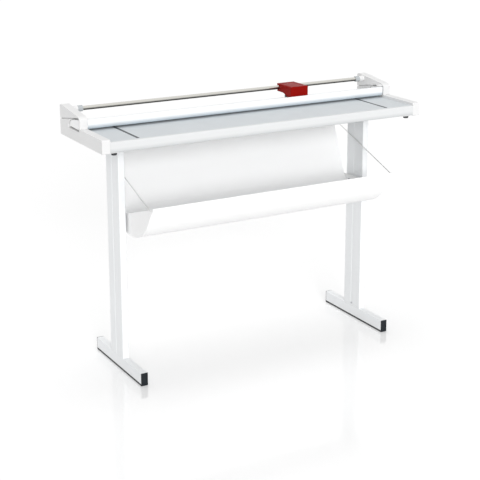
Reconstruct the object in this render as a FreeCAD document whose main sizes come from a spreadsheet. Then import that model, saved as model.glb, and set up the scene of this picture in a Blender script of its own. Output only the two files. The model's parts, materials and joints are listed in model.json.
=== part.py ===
import FreeCAD, Part
import Sketcher
import os

Vector = FreeCAD.Vector
doc = FreeCAD.newDocument("SlidingTrimmer")
sheet = doc.addObject("Spreadsheet::Sheet", "Sizes")

# Frame: +X along the cut, +Y to the rear, +Z up, origin on the floor under the middle of the whole trimmer.
# A reach is measured forward from the guide shaft, a setback is measured forward from the rear end of the feet.
# Driving dimensions in millimetres.
sizes = {
    # whole machine
    "rear_reach": 229.5,
    "shaft_setback": 64,
    "table_height": 915,
    "table_reach": 341,
    "table_thick": 37,
    "cut_length": 1050,
    "table_margin": 113,
    "fit_gap": 0.3,
    # stand
    "foot_inset": 95.6,
    "foot_length": 405,
    "foot_width": 26.4,
    "foot_height": 48.3,
    "foot_wall": 2,
    "foot_round": 3,
    "glide_height": 7,
    "cap_flange": 3.2,
    "cap_insert": 16,
    "post_width": 25.2,
    "post_depth": 110.5,
    "post_reach": 71.9,
    "post_wall": 2,
    "groove_width": 12,
    "groove_depth": 0.8,
    "insert_height": 20,
    "bolt_radius": 4,
    "bolt_head": 6.5,
    "bolt_head_high": 5,
    "post_screw_rise": 9,
    "post_screw_length": 12,
    "small_head_high": 2,
    "plate_length": 134,
    "plate_width": 52,
    "plate_thick": 6,
    "plate_bolt_inset_side": 9,
    "plate_bolt_inset_end": 6,
    # table
    "bearer_width": 50,
    "bearer_wall": 2.5,
    "top_thick": 3,
    "rail_depth": 12,
    "rail_wall": 2.5,
    "rail_round": 5,
    "stiffener_width": 30,
    "stiffener_height": 28,
    "stiffener_wall": 2,
    "front_stiffener_reach": 250,
    "rear_stiffener_reach": 60,
    "line_width": 7,
    "line_depth": 1,
    "line_margin": 5,
    "top_rear_reach": 30,
    "knife_reach": 12.05,
    "knife_thick": 2.2,
    "knife_height": 20,
    "knife_inset": 38,
    "knife_screw_drop": 13,
    "knife_screw_pitch": 200,
    "carrier_wall": 3,
    "beam_front": 30,
    "beam_depth": 11,
    "beam_height": 22,
    "beam_wall": 2,
    "pad_radius": 11,
    "pad_height": 9,
    "pad_inset": 18,
    # end caps and end blocks
    "cap_width": 31,
    "cap_rim": 10,
    "cap_drop": 3,
    "cap_wall": 3,
    "cap_round": 7,
    "cap_shelf": 40,
    "seat_rear_rise": 7,
    "seat_lip_gap": 6,
    "seat_front_reach": 130,
    "seat_end_reach": 62,
    "seat_foot_reach": 38,
    "block_rear_crown": 17.5,
    "block_front_drop": 1.5,
    "block_nose_reach": 145,
    "block_nose_drop": 9.5,
    "leg_thick": 7,
    "block_slope_run": 13,
    "block_corner": 4,
    "boss_radius": 11,
    "boss_length": 21,
    "screw_radius": 2.5,
    "screw_head": 4.6,
    # guide
    "shaft_rise": 55.5,
    "shaft_radius": 8,
    "shaft_grip": 14,
    "bumper_length": 19,
    "bumper_radius": 11.4,
    # clamp bar
    "clamp_lift": 6.5,
    "clamp_travel": 5.5,
    "clamp_front_reach": 141,
    "clamp_rear_reach": 30,
    "clamp_lip_rise": 16,
    "clamp_lip_thick": 9,
    "track_rise": 18.5,
    "track_rear_reach": 50,
    "clamp_rear_drop": 11,
    "clamp_wall": 2.5,
    "clamp_end_gap": 2,
    "clamp_round": 4,
    "clamp_chin_run": 8,
    "clamp_chin_rise": 14,
    "tongue_gap": 1.5,
    "tongue_drop": 3.5,
    "pad_strip_width": 8,
    "pad_strip_depth": 2.5,
    "pad_strip_stand": 0.5,
    "pad_strip_front_inset": 18,
    "pad_strip_rear_inset": 12,
    "pad_rib": 2,
    "spring_radius": 5,
    "spring_wire": 1.4,
    "spring_reach": 92,
    "spring_depth": 18,
    "spring_pocket": 4,
    # cutting head
    "head_rest": 274.5,
    "head_width": 79,
    "head_wall": 2.5,
    "head_rear": 15,
    "head_reach": 93,
    "head_crown": 14.5,
    "head_skirt_gap": 3,
    "head_slope_drop": 16.5,
    "head_pillar_radius": 4.5,
    "head_screw_spread": 40,
    "head_shaft_gap": 1.5,
    "block_back_reach": 64,
    "slope_back_reach": 36,
    "head_round": 4,
    "chassis_width": 60,
    "chassis_front": 14,
    "chassis_rear": 11.5,
    "chassis_crown": 1.8,
    "bush_radius": 10,
    "bush_length": 16,
    "bush_gap": 0.05,
    "wiper_thick": 3,
    "deck_thick": 6,
    "deck_drop": 13.5,
    "ear_thick": 3,
    "ear_width": 12,
    "roller_radius": 8,
    "roller_width": 14,
    "roller_reach": 77,
    "roller_spread": 40,
    "pin_radius": 3,
    "blade_radius": 25,
    "blade_thick": 1.5,
    "blade_dip": 2.5,
    "blade_offset": 6,
    "blade_bevel": 3,
    "blade_land": 0.25,
    "hub_radius": 9,
    "hub_length": 6,
    "axle_radius": 4,
    "arm_thick": 7,
    "arm_width": 26,
    "cutter_gap": 0.05,
    "washer_thick": 1.9,
    # catch tray and stays
    "tray_side_gap": 9.2,
    "sheet_thick": 1.2,
    "flange_rise": 15,
    "panel_top_drop": 6,
    "panel_foot_reach": 66,
    "panel_foot_drop": 276,
    "trough_low_reach": 232,
    "trough_low_drop": 349,
    "rise_reach": 365,
    "rise_drop": 249,
    "lip_reach": 392,
    "lip_drop": 206,
    "lip_roll": 2.9,
    "end_notch_reach": 182,
    "end_notch_drop": 272,
    "tray_screw_drop": 294,
    "tray_screw_reach": 127,
    "tray_screw_pitch": 44,
    "stay_radius": 1.6,
    "stay_offset_share": 0.74,
    "stay_top_drop": 78,
    "stay_hook": 8,
    "lug_size": 16,
    "spacer_radius": 6,
}
for row, (alias, number) in enumerate(sizes.items(), 1):
    sheet.set(f"A{row}", alias)
    sheet.set(f"B{row}", str(number))
    sheet.setAlias(f"B{row}", alias)
doc.recompute()


class Length:
    # A length that knows its number and its spreadsheet formula, so that plain sums stay bound to the cells.
    def __init__(self, number, formula):
        self.number = number
        self.formula = formula

    def __add__(self, other):
        other = length(other)
        return Length(self.number + other.number, f"({self.formula} + {other.formula})")

    def __sub__(self, other):
        other = length(other)
        return Length(self.number - other.number, f"({self.formula} - {other.formula})")

    def __mul__(self, other):
        other = length(other)
        return Length(self.number * other.number, f"{self.formula} * {other.formula}")

    def __truediv__(self, other):
        other = length(other)
        return Length(self.number / other.number, f"{self.formula} / {other.formula}")

    def __radd__(self, other):
        return length(other) + self

    def __rsub__(self, other):
        return length(other) - self

    def __rmul__(self, other):
        return length(other) * self

    def __neg__(self):
        return Length(-self.number, f"(0 - {self.formula})")


def length(value):
    if isinstance(value, Length):
        return value
    return Length(float(value), f"({float(value)})")


def cell(alias):
    return Length(float(getattr(sheet, alias)), f"Sizes.{alias}")


def bind(thing, path, value):
    value = length(value)
    thing.setExpression(path, value.formula)
    return value.number


def place(thing, x, y, z, turn=None):
    numbers = [length(value).number for value in (x, y, z)]
    thing.Placement = FreeCAD.Placement(Vector(*numbers), turn or FreeCAD.Rotation())
    for path, value in zip(("x", "y", "z"), (x, y, z)):
        bind(thing, f"Placement.Base.{path}", value)
    return thing


def box(name, x, y, z, wide, deep, high):
    block = doc.addObject("Part::Box", name)
    for path, value in (("Length", wide), ("Width", deep), ("Height", high)):
        setattr(block, path, bind(block, path, value))
    return place(block, x, y, z)


turns = {
    "X": FreeCAD.Rotation(Vector(0, 1, 0), 90),
    "Y": FreeCAD.Rotation(Vector(1, 0, 0), -90),
    "Z": FreeCAD.Rotation(),
}


def rod(name, along, x, y, z, radius, high):
    bar = doc.addObject("Part::Cylinder", name)
    bar.Radius = bind(bar, "Radius", radius)
    bar.Height = bind(bar, "Height", high)
    return place(bar, x, y, z, turns[along])


def faceted(name, along, x, y, z, radius, high, sides=8):
    # an even-sided bar for hexagonal heads, and for the screw shanks and screw holes that stay out of sight
    bar = doc.addObject("Part::Prism", name)
    bar.Polygon = sides
    bar.Circumradius = bind(bar, "Circumradius", radius)
    bar.Height = bind(bar, "Height", high)
    return place(bar, x, y, z, turns[along])


def taper(name, along, x, y, z, radius, far_radius, high):
    bar = doc.addObject("Part::Cone", name)
    bar.Radius1 = bind(bar, "Radius1", radius)
    bar.Radius2 = bind(bar, "Radius2", far_radius)
    bar.Height = bind(bar, "Height", high)
    return place(bar, x, y, z, turns[along])


def cut(name, base, *tools):
    tool = tools[0] if len(tools) == 1 else fuse(name + "Tools", *tools)
    result = doc.addObject("Part::Cut", name)
    result.Base = base
    result.Tool = tool
    return result


def fuse(name, *pieces):
    result = doc.addObject("Part::MultiFuse", name)
    result.Shapes = list(pieces)
    return result


def group(name, *pieces):
    result = doc.addObject("Part::Compound", name)
    result.Links = list(pieces)
    return result


def mirrored(name, source):
    result = doc.addObject("Part::Mirroring", name)
    result.Source = source
    result.Normal = Vector(1, 0, 0)
    return result


def origin_plane(body, role):
    return next(plane for plane in body.Origin.OriginFeatures if plane.Role == role)


def prism(name, role, start, long, points, rounds=()):
    # A padded outline: on YZ_Plane it runs along X, on XY_Plane along Z. Each round is a point's number and a radius.
    body = doc.addObject("PartDesign::Body", name)
    outline = body.newObject("Sketcher::SketchObject", name + "Outline")
    outline.AttachmentSupport = [(origin_plane(body, role), "")]
    outline.MapMode = "FlatFace"
    corners = [Vector(length(u).number, length(v).number, 0) for u, v in points]
    for here, there in zip(corners, corners[1:] + corners[:1]):
        outline.addGeometry(Part.LineSegment(here, there), False)
    count = len(points)
    for index in range(count):
        outline.addConstraint(Sketcher.Constraint("Coincident", index, 2, (index + 1) % count, 1))
    for index, (u, v) in enumerate(points):
        for kind, value in (("DistanceX", u), ("DistanceY", v)):
            number = length(value).number
            spot = outline.addConstraint(Sketcher.Constraint(kind, -1, 1, index, 1, number))
            bind(outline, f"Constraints[{spot}]", value)
    pad = body.newObject("PartDesign::Pad", name + "Pad")
    pad.Profile = outline
    pad.Length = bind(pad, "Length", long)
    if role == "YZ_Plane":
        place(body, start, 0, 0)
    else:
        place(body, 0, 0, start)
    doc.recompute()
    for order, (indices, radius) in enumerate(rounds):
        spots = [corners[index] for index in indices]
        feature = body.Tip
        edges = [
            f"Edge{number}"
            for number, edge in enumerate(feature.Shape.Edges, 1)
            if any(lies_on(edge, spot, role) for spot in spots)
        ]
        fillet = body.newObject("PartDesign::Fillet", f"{name}Round{order}")
        fillet.Base = (feature, edges)
        fillet.Radius = bind(fillet, "Radius", radius)
        doc.recompute()
    return body


def lies_on(edge, spot, role):
    first, last = edge.Vertexes[0].Point, edge.Vertexes[-1].Point
    near = 1e-4
    if role == "YZ_Plane":
        same = abs(first.y - last.y) < near and abs(first.z - last.z) < near
        return same and abs(first.y - spot.x) < near and abs(first.z - spot.y) < near
    same = abs(first.x - last.x) < near and abs(first.y - last.y) < near
    return same and abs(first.x - spot.x) < near and abs(first.y - spot.y) < near


def screw(name, along, x, y, z, radius, long, head, head_high, side=1):
    # A hexagon-headed screw: its head's seat is at the given point, the shank runs along +side, the head lies behind.
    pieces = {"X": (1, 0, 0), "Y": (0, 1, 0), "Z": (0, 0, 1)}[along]
    shank_shift = [0 if side > 0 else -1 * length(long) for _ in range(3)]
    head_shift = [-1 * length(head_high) if side > 0 else 0 for _ in range(3)]
    base = [p + q * u if u else p for p, q, u in zip((x, y, z), shank_shift, pieces)]
    crown = [p + q * u if u else p for p, q, u in zip((x, y, z), head_shift, pieces)]
    shank = faceted(name + "Shank", along, *base, radius, long)
    cap = faceted(name + "Head", along, *crown, head, head_high, 6)
    return fuse(name, shank, cap)


c = cell
parts = []


def part(label, thing):
    thing.Label = label
    parts.append(thing)
    return thing


# Datum lines that the pieces share.
shaft_y = c("rear_reach") - c("shaft_setback")
top = c("table_height")
under = top - c("table_thick")
plate_low = top - c("top_thick")
half_table = c("cut_length") / 2 + c("table_margin")
half_over = half_table + c("cap_width")
rim = top + c("cap_rim")
shaft_z = top + c("shaft_rise")
clamp_low = top + c("clamp_lift")
track_z = clamp_low + c("track_rise")
lip_z = track_z + c("clamp_lip_rise")
half_foot = half_table - c("foot_inset")
post_face = half_foot - c("post_width")
half_tray = post_face - c("tray_side_gap")
tray_screw_z = under - c("tray_screw_drop")


def ahead(alias):
    return shaft_y - c(alias)


def tray_screw_spots():
    return [shaft_y - c("tray_screw_reach") + step * c("tray_screw_pitch") / 2 for step in (-1, 1)]


def build_stand():
    foot_front = c("rear_reach") - c("foot_length")
    outer = half_foot
    inner = outer - c("foot_width")
    post_rear = ahead("post_reach")
    post_front = post_rear - c("post_depth")
    post_inner = outer - c("post_width")
    post_top = under - c("plate_thick")
    wall = c("foot_wall")
    tube_low = c("glide_height")
    tube_length = c("foot_length") - 2 * c("cap_flange")
    bolt_spots = [post_front + c("post_depth") / 4, post_rear - c("post_depth") / 4]
    middle = outer - c("post_width") / 2
    hole = c("bolt_radius") + c("fit_gap") / 2
    inserts = []
    for side, name in ((1, "right"), (-1, "left")):
        start = inner if side > 0 else -outer
        tube_y = foot_front + c("cap_flange")
        shell = box(f"{name}FootOuter", start, tube_y, tube_low, c("foot_width"), tube_length,
                    c("foot_height") - tube_low)
        bore = box(f"{name}FootBore", start + wall, tube_y - 1, tube_low + wall,
                   c("foot_width") - 2 * wall, tube_length + 2, c("foot_height") - tube_low - 2 * wall)
        holes = [
            faceted(f"{name}FootHole{index}", "Z", side * middle, spot, c("foot_height") - 2 * wall, hole, 3 * wall)
            for index, spot in enumerate(bolt_spots)
        ]
        part(f"{name}_foot_tube", cut(f"{name}Foot", shell, bore, *holes))
        part(f"{name}_foot_glide", box(f"{name}Glide", start, tube_y, 0, c("foot_width"), tube_length, tube_low))
        for end in ("front", "rear"):
            flange_y = foot_front if end == "front" else c("rear_reach") - c("cap_flange")
            plug_y = foot_front + c("cap_flange") if end == "front" else flange_y - c("cap_insert")
            gap = wall + c("fit_gap")
            flange = prism(f"{name}{end}Flange", "XY_Plane", 0, c("foot_height"), [
                (start, flange_y),
                (start + c("foot_width"), flange_y),
                (start + c("foot_width"), flange_y + c("cap_flange")),
                (start, flange_y + c("cap_flange")),
            ], [((0, 1) if end == "front" else (2, 3), c("cap_flange") * 0.45)])
            plug = box(f"{name}{end}Plug", start + gap, plug_y, tube_low + gap, c("foot_width") - 2 * gap,
                       c("cap_insert"), c("foot_height") - tube_low - 2 * gap)
            part(f"{name}_{end}_foot_cap", fuse(f"{name}{end}Cap", flange, plug))
        # The post is an extruded box section with a shallow channel down the middle of each broad face.
        low = post_inner if side > 0 else -outer
        high = low + c("post_width")
        channel_front = (post_front + post_rear) / 2 - c("groove_width") / 2
        channel_rear = channel_front + c("groove_width")
        dip = c("groove_depth")
        section = prism(f"{name}PostSection", "XY_Plane", c("foot_height"), post_top - c("foot_height"), [
            (low, post_front), (high, post_front), (high, channel_front), (high - dip, channel_front),
            (high - dip, channel_rear), (high, channel_rear), (high, post_rear), (low, post_rear),
            (low, channel_rear), (low + dip, channel_rear), (low + dip, channel_front), (low, channel_front),
        ], [((0, 1, 6, 7), 2 * dip)])
        post_gap = c("post_wall")
        hollow = box(f"{name}PostHollow", low + post_gap + dip, post_front + post_gap, c("foot_height") - 1,
                     c("post_width") - 2 * post_gap - 2 * dip, c("post_depth") - 2 * post_gap,
                     post_top - c("foot_height") + 2)
        screw_z = c("foot_height") + c("post_screw_rise")
        screw_y = (post_front + post_rear) / 2
        inner_wall = low - 1 if side > 0 else high - post_gap - 2 * dip
        screw_hole = faceted(f"{name}PostHole", "X", inner_wall, screw_y, screw_z, c("screw_radius") + c("fit_gap") / 2,
                         post_gap + 2 * dip + 1)
        tray_holes = [
            faceted(f"{name}PostTrayHole{index}", "X", inner_wall, spot, tray_screw_z,
                c("screw_radius") + c("fit_gap") / 2, post_gap + 2 * dip + 1)
            for index, spot in enumerate(tray_screw_spots())
        ]
        part(f"{name}_post", cut(f"{name}Post", section, hollow, screw_hole, *tray_holes))
        insert = box(f"{name}InsertBlock", low + post_gap + dip + c("fit_gap"), post_front + post_gap + c("fit_gap"),
                     c("foot_height"), c("post_width") - 2 * (post_gap + dip + c("fit_gap")),
                     c("post_depth") - 2 * (post_gap + c("fit_gap")), c("insert_height"))
        insert_holes = [
            faceted(f"{name}InsertHole{index}", "Z", side * middle, spot, c("foot_height") - 1, hole,
                c("insert_height") + 2)
            for index, spot in enumerate(bolt_spots)
        ]
        insert_holes.append(faceted(f"{name}InsertScrewHole", "X", low - 1, screw_y, screw_z,
                                c("screw_radius") + c("fit_gap") / 2, c("post_width") + 2))
        inserts.append(cut(f"{name}Insert", insert, *insert_holes))
        plate = box(f"{name}PlateBlank", side * middle - c("plate_width") / 2,
                    (post_front + post_rear) / 2 - c("plate_length") / 2, post_top, c("plate_width"),
                    c("plate_length"), c("plate_thick"))
        plate_holes = bolt_holes(f"{name}PlateHole", side * middle, (post_front + post_rear) / 2, post_top - 1,
                                 c("plate_thick") + 2)
        part(f"{name}_post_plate", cut(f"{name}Plate", plate, *plate_holes))
    part("post_inserts", group("PostInserts", *inserts))



def build_stand_fasteners():
    outer = half_foot
    middle = outer - c("post_width") / 2
    post_rear = ahead("post_reach")
    post_middle = post_rear - c("post_depth") / 2
    post_top = under - c("plate_thick")
    spots = [post_rear - c("post_depth") * share for share in (0.75, 0.25)]
    ceiling = c("foot_height") - c("foot_wall")
    post_inner = outer - c("post_width")
    feet = []
    tops = []
    for side in (1, -1):
        for index, spot in enumerate(spots):
            feet.append(screw(f"FootBolt{side}{index}".replace("-", "L"), "Z", side * middle, spot, ceiling,
                              c("bolt_radius"), c("insert_height"), c("bolt_head"), c("bolt_head_high")))
        for across in (-1, 1):
            for along in (-1, 1):
                x = side * middle + across * (c("plate_width") / 2 - c("plate_bolt_inset_side"))
                y = post_middle + along * (c("plate_length") / 2 - c("plate_bolt_inset_end"))
                tops.append(screw(f"TableBolt{len(tops)}", "Z", x, y, post_top, c("bolt_radius"),
                                  c("plate_thick") + 3 * c("bearer_wall"), c("bolt_head"), c("bolt_head_high")))
        seat = side * (post_inner + c("groove_depth"))
        feet.append(screw(f"PostScrew{side}".replace("-", "L"), "X", seat, post_middle,
                          c("foot_height") + c("post_screw_rise"), c("screw_radius"), c("post_screw_length"),
                          c("screw_head"), c("small_head_high"), side))
    part("foot_bolts", group("FootBolts", *feet))
    part("table_bolts", group("TableBolts", *tops))


def bolt_holes(name, x, y, low, high):
    # the four clearance holes of a post plate
    radius = c("bolt_radius") + c("fit_gap") / 2
    holes = []
    for across in (-1, 1):
        for along in (-1, 1):
            holes.append(faceted(f"{name}{len(holes)}", "Z", x + across * (c("plate_width") / 2 - c("plate_bolt_inset_side")),
                             y + along * (c("plate_length") / 2 - c("plate_bolt_inset_end")), low, radius, high))
    return holes


def build_table():
    front = ahead("table_reach")
    rail_rear = front + c("rail_depth")
    top_rear = ahead("top_rear_reach")
    middle = half_foot - c("post_width") / 2
    post_middle = ahead("post_reach") - c("post_depth") / 2
    wall = c("bearer_wall")
    for side, name in ((1, "right"), (-1, "left")):
        x = side * middle - c("bearer_width") / 2
        shell = box(f"{name}BearerOuter", x, rail_rear, under, c("bearer_width"), top_rear - rail_rear,
                    plate_low - under)
        bore = box(f"{name}BearerBore", x + wall, rail_rear - 1, under + wall, c("bearer_width") - 2 * wall,
                   top_rear - rail_rear + 2, plate_low - under - 2 * wall)
        holes = bolt_holes(f"{name}BearerHole", side * middle, post_middle, under - 1, wall + 2)
        part(f"{name}_bearer", cut(f"{name}Bearer", shell, bore, *holes))
    sheet_blank = box("TopBlank", -half_table, rail_rear, plate_low, 2 * half_table, top_rear - rail_rear,
                      c("top_thick"))
    slots = []
    for side, name in ((1, "right"), (-1, "left")):
        x = side * c("cut_length") / 2
        slot_front = rail_rear + c("line_margin")
        radius = c("line_width") / 2
        slot_low = top - c("line_depth")
        slots.append(box(f"{name}SlotBox", x - radius, slot_front + radius, slot_low, 2 * radius,
                         top_rear - slot_front, c("line_depth") + 1))
        slots.append(rod(f"{name}SlotEnd", "Z", x, slot_front + radius, slot_low, radius, c("line_depth") + 1))
        bar = box(f"{name}LineBar", x - radius, slot_front + radius, slot_low, 2 * radius,
                  top_rear - slot_front - radius, c("line_depth"))
        nose = rod(f"{name}LineNose", "Z", x, slot_front + radius, slot_low, radius, c("line_depth"))
        part(f"{name}_side_line", fuse(f"{name}Line", bar, nose))
    part("table_top", cut("TableTop", sheet_blank, *slots))
    rail = prism("RailSection", "YZ_Plane", -half_table, 2 * half_table, [
        (front, under), (rail_rear, under), (rail_rear, top), (front, top),
    ], [((3,), c("rail_round")), ((0,), c("rail_round") * 0.6)])
    groove = box("RailGroove", -half_table - 1, front + c("rail_wall"), under + c("rail_wall"),
                 2 * half_table + 2, c("rail_depth"), c("table_thick") - 2 * c("rail_wall"))
    part("front_rail", cut("FrontRail", rail, groove))
    tubes = []
    span = 2 * middle - c("bearer_width")
    for index, reach in enumerate((c("front_stiffener_reach"), c("rear_stiffener_reach"))):
        y = shaft_y - reach - c("stiffener_width") / 2
        low = plate_low - c("stiffener_height")
        inner = c("stiffener_wall")
        shell = box(f"StiffenerOuter{index}", -span / 2, y, low, span, c("stiffener_width"),
                    c("stiffener_height"))
        bore = box(f"StiffenerBore{index}", -span / 2 - 1, y + inner, low + inner, span + 2,
                   c("stiffener_width") - 2 * inner, c("stiffener_height") - 2 * inner)
        tubes.append(cut(f"Stiffener{index}", shell, bore))
    part("front_stiffener", tubes[0])
    part("rear_stiffener", tubes[1])
    half_knife = half_table - c("knife_inset")
    knife_front = ahead("knife_reach") - c("knife_thick")
    wall = c("carrier_wall")
    carrier = box("CarrierBlank", -half_table, top_rear, under, 2 * half_table, knife_front - top_rear,
                  c("table_thick"))
    hollow = box("CarrierHollow", -half_table - 1, top_rear + wall, under + wall, 2 * half_table + 2,
                 knife_front - top_rear - 2 * wall, c("table_thick") - 3 * wall)
    count = int((2 * half_knife).number // c("knife_screw_pitch").number)
    screw_z = top - c("knife_screw_drop")
    spots = [(index - (count - 1) / 2) * c("knife_screw_pitch") for index in range(count)]
    seats = [
        faceted(f"CarrierHole{index}", "Y", x, knife_front - wall - 1, screw_z, c("screw_radius") + c("fit_gap") / 2,
            wall + 2)
        for index, x in enumerate(spots)
    ]
    part("knife_carrier", cut("KnifeCarrier", carrier, hollow, *seats))
    blade_low = top - c("knife_height")
    knife_rear = ahead("knife_reach")
    blank = prism("KnifeSection", "YZ_Plane", -half_knife, 2 * half_knife, [
        (knife_front, blade_low), (knife_rear - c("knife_thick") / 3, blade_low),
        (knife_rear, blade_low + c("knife_thick")), (knife_rear, top), (knife_front, top),
    ])
    sinks = [
        taper(f"KnifeSink{index}", "Y", x, knife_front, screw_z, c("screw_radius") + c("fit_gap") / 2,
              c("screw_head"), c("knife_thick"))
        for index, x in enumerate(spots)
    ]
    part("counter_knife", cut("CounterKnife", blank, *sinks))
    screws = []
    for index, x in enumerate(spots):
        shank = faceted(f"KnifeScrewShank{index}", "Y", x, knife_front - wall - 2, screw_z, c("screw_radius"), wall + 2)
        head = taper(f"KnifeScrewHead{index}", "Y", x, knife_front, screw_z, c("screw_radius"),
                     c("screw_head") - c("fit_gap") / 2, c("knife_thick"))
        screws.append(fuse(f"KnifeScrew{index}", shank, head))
    part("knife_screws", group("KnifeScrews", *screws))
    beam_y = shaft_y + c("beam_front")
    shell = box("BeamOuter", -half_table, beam_y, under, 2 * half_table, c("beam_depth"), c("beam_height"))
    bore = box("BeamBore", -half_table - 1, beam_y + c("beam_wall"), under + c("beam_wall"),
               2 * half_table + 2, c("beam_depth") - 2 * c("beam_wall"), c("beam_height") - 2 * c("beam_wall"))
    part("rear_beam", cut("RearBeam", shell, bore))


def seat_height(reach):
    # height of the sloping joint between an end cap and its end block, at a reach ahead of the guide shaft
    run = c("seat_front_reach") + c("beam_front") + c("beam_depth")
    seat_rear = rim + c("seat_rear_rise")
    rise = lip_z + c("seat_lip_gap") - seat_rear
    return seat_rear + rise * (length(reach) + c("beam_front") + c("beam_depth")) / run


def build_ends():
    front = ahead("table_reach")
    rear = shaft_y + c("beam_front") + c("beam_depth")
    low = under - c("cap_drop")
    seat_rear = rim + c("seat_rear_rise")
    pocket = top - 1
    leg_rear = ahead("block_nose_reach") + c("leg_thick")
    seat_foot = ahead("seat_foot_reach")
    seat_end = ahead("seat_end_reach")
    cap = prism("CapSection", "YZ_Plane", half_table, c("cap_width"), [
        (front, low), (rear, low), (rear, seat_rear), (seat_end, seat_height(c("seat_end_reach"))),
        (seat_foot, rim), (seat_foot, pocket), (leg_rear, pocket), (leg_rear, rim), (front, rim),
    ], [((8,), c("cap_round")), ((0, 1), c("cap_round") * 0.6)])
    wall = c("cap_wall")
    shelf_length = c("cap_shelf") + wall
    shelves = [
        box("CapFrontShelf", half_table - c("cap_shelf"), front + c("cap_round"), low, shelf_length,
            c("cap_shelf") - 6, c("cap_drop")),
        box("CapRearShelf", half_table - c("cap_shelf"), rear - c("cap_shelf") + 6, low, shelf_length,
            c("cap_shelf") - 6 - c("cap_round"), c("cap_drop")),
    ]
    hollow = box("CapHollow", half_table - 1, front + 2 * c("cap_round"), under, c("cap_width") - wall + 1,
                 seat_foot - front - 3 * c("cap_round"), c("table_thick") - 3 * wall)
    spring_bore = rod("CapSpringBore", "Z", half_table + c("cap_width") / 2, ahead("spring_reach"),
                      pocket - c("spring_depth"), c("spring_radius") + 1, c("spring_depth") + 1)
    spring_pot = rod("CapSpringPot", "Z", half_table + c("cap_width") / 2, ahead("spring_reach"),
                     pocket - c("spring_depth") - wall, c("spring_radius") + 1 + wall / 2,
                     c("spring_depth") + wall)
    shell = cut("CapShell", cap, hollow)
    right_cap = cut("RightCap", fuse("CapBlank", shell, spring_pot, *shelves), spring_bore)
    part("right_end_cap", right_cap)
    part("left_end_cap", mirrored("LeftCap", right_cap))
    # The end block bridges the clamp bar's end: it stands on the cap's rear seat and on a thin leg in front.
    nose = ahead("block_nose_reach")
    arch = c("seat_front_reach")
    crown = shaft_z + c("block_rear_crown")
    corner = c("block_corner")
    block = prism("BlockSection", "YZ_Plane", half_table, c("cap_width"), [
        (nose, rim), (leg_rear, rim), (leg_rear, seat_height(arch) - c("leg_thick") / 2),
        (ahead("seat_front_reach"), seat_height(arch)), (rear, seat_rear),
        (rear, crown - corner), (rear - c("block_slope_run"), crown),
        (nose + c("block_slope_run"), shaft_z - c("block_front_drop")), (nose, shaft_z - c("block_nose_drop")),
    ], [((5,), corner * 1.5), ((6,), corner * 2.5), ((8,), corner), ((7,), corner * 2.25)])
    boss = rod("BlockBoss", "X", half_table - c("boss_length"), shaft_y, shaft_z, c("boss_radius"),
               c("boss_length") + 2)
    bore = rod("BlockBore", "X", half_table - c("boss_length") - 1, shaft_y, shaft_z, c("shaft_radius"),
               c("boss_length") + c("shaft_grip") + 1)
    right_block = cut("RightBlock", fuse("BlockBlank", block, boss), bore)
    part("right_end_block", right_block)
    part("left_end_block", mirrored("LeftBlock", right_block))
    shaft_half = half_table + c("shaft_grip")
    part("guide_shaft", rod("GuideShaft", "X", -shaft_half, shaft_y, shaft_z, c("shaft_radius"),
                            2 * shaft_half))
    for side, name in ((1, "right"), (-1, "left")):
        start = half_table - c("boss_length") - c("bumper_length") if side > 0 else c("boss_length") - half_table
        ring = rod(f"{name}BumperBlank", "X", start, shaft_y, shaft_z, c("bumper_radius"),
                   c("bumper_length"))
        hole = rod(f"{name}BumperHole", "X", start - 1, shaft_y, shaft_z, c("shaft_radius"),
                   c("bumper_length") + 2)
        part(f"{name}_bumper", cut(f"{name}Bumper", ring, hole))
    pads = []
    for side in (-1, 1):
        for y in (front + c("pad_inset"), rear - c("pad_inset")):
            x = side * (half_table - c("cap_shelf") / 2)
            pads.append(taper(f"Pad{len(pads)}", "Z", x, y, low - c("pad_height"), c("pad_radius") * 0.85,
                              c("pad_radius"), c("pad_height")))
    part("table_pads", group("TablePads", *pads))


def clamp_points(inset):
    # outline of the clamp bar in the YZ plane, or of its hollow at an inset
    front = ahead("clamp_front_reach")
    rear = ahead("clamp_rear_reach")
    low = clamp_low
    lip_rear = front + c("clamp_lip_thick")
    chin_y = front + c("clamp_chin_run")
    chin_z = low + c("clamp_chin_rise")
    return [
        (front + inset, chin_z + inset / 2), (chin_y + inset / 2, low + inset), (rear - inset, low + inset),
        (rear - inset, (track_z - c("clamp_rear_drop")) - inset),
        (ahead("track_rear_reach") - inset / 2, track_z - inset),
        (lip_rear - inset, track_z - inset),
        (lip_rear - inset, lip_z - inset), (front + inset, lip_z - inset),
    ]


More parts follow.
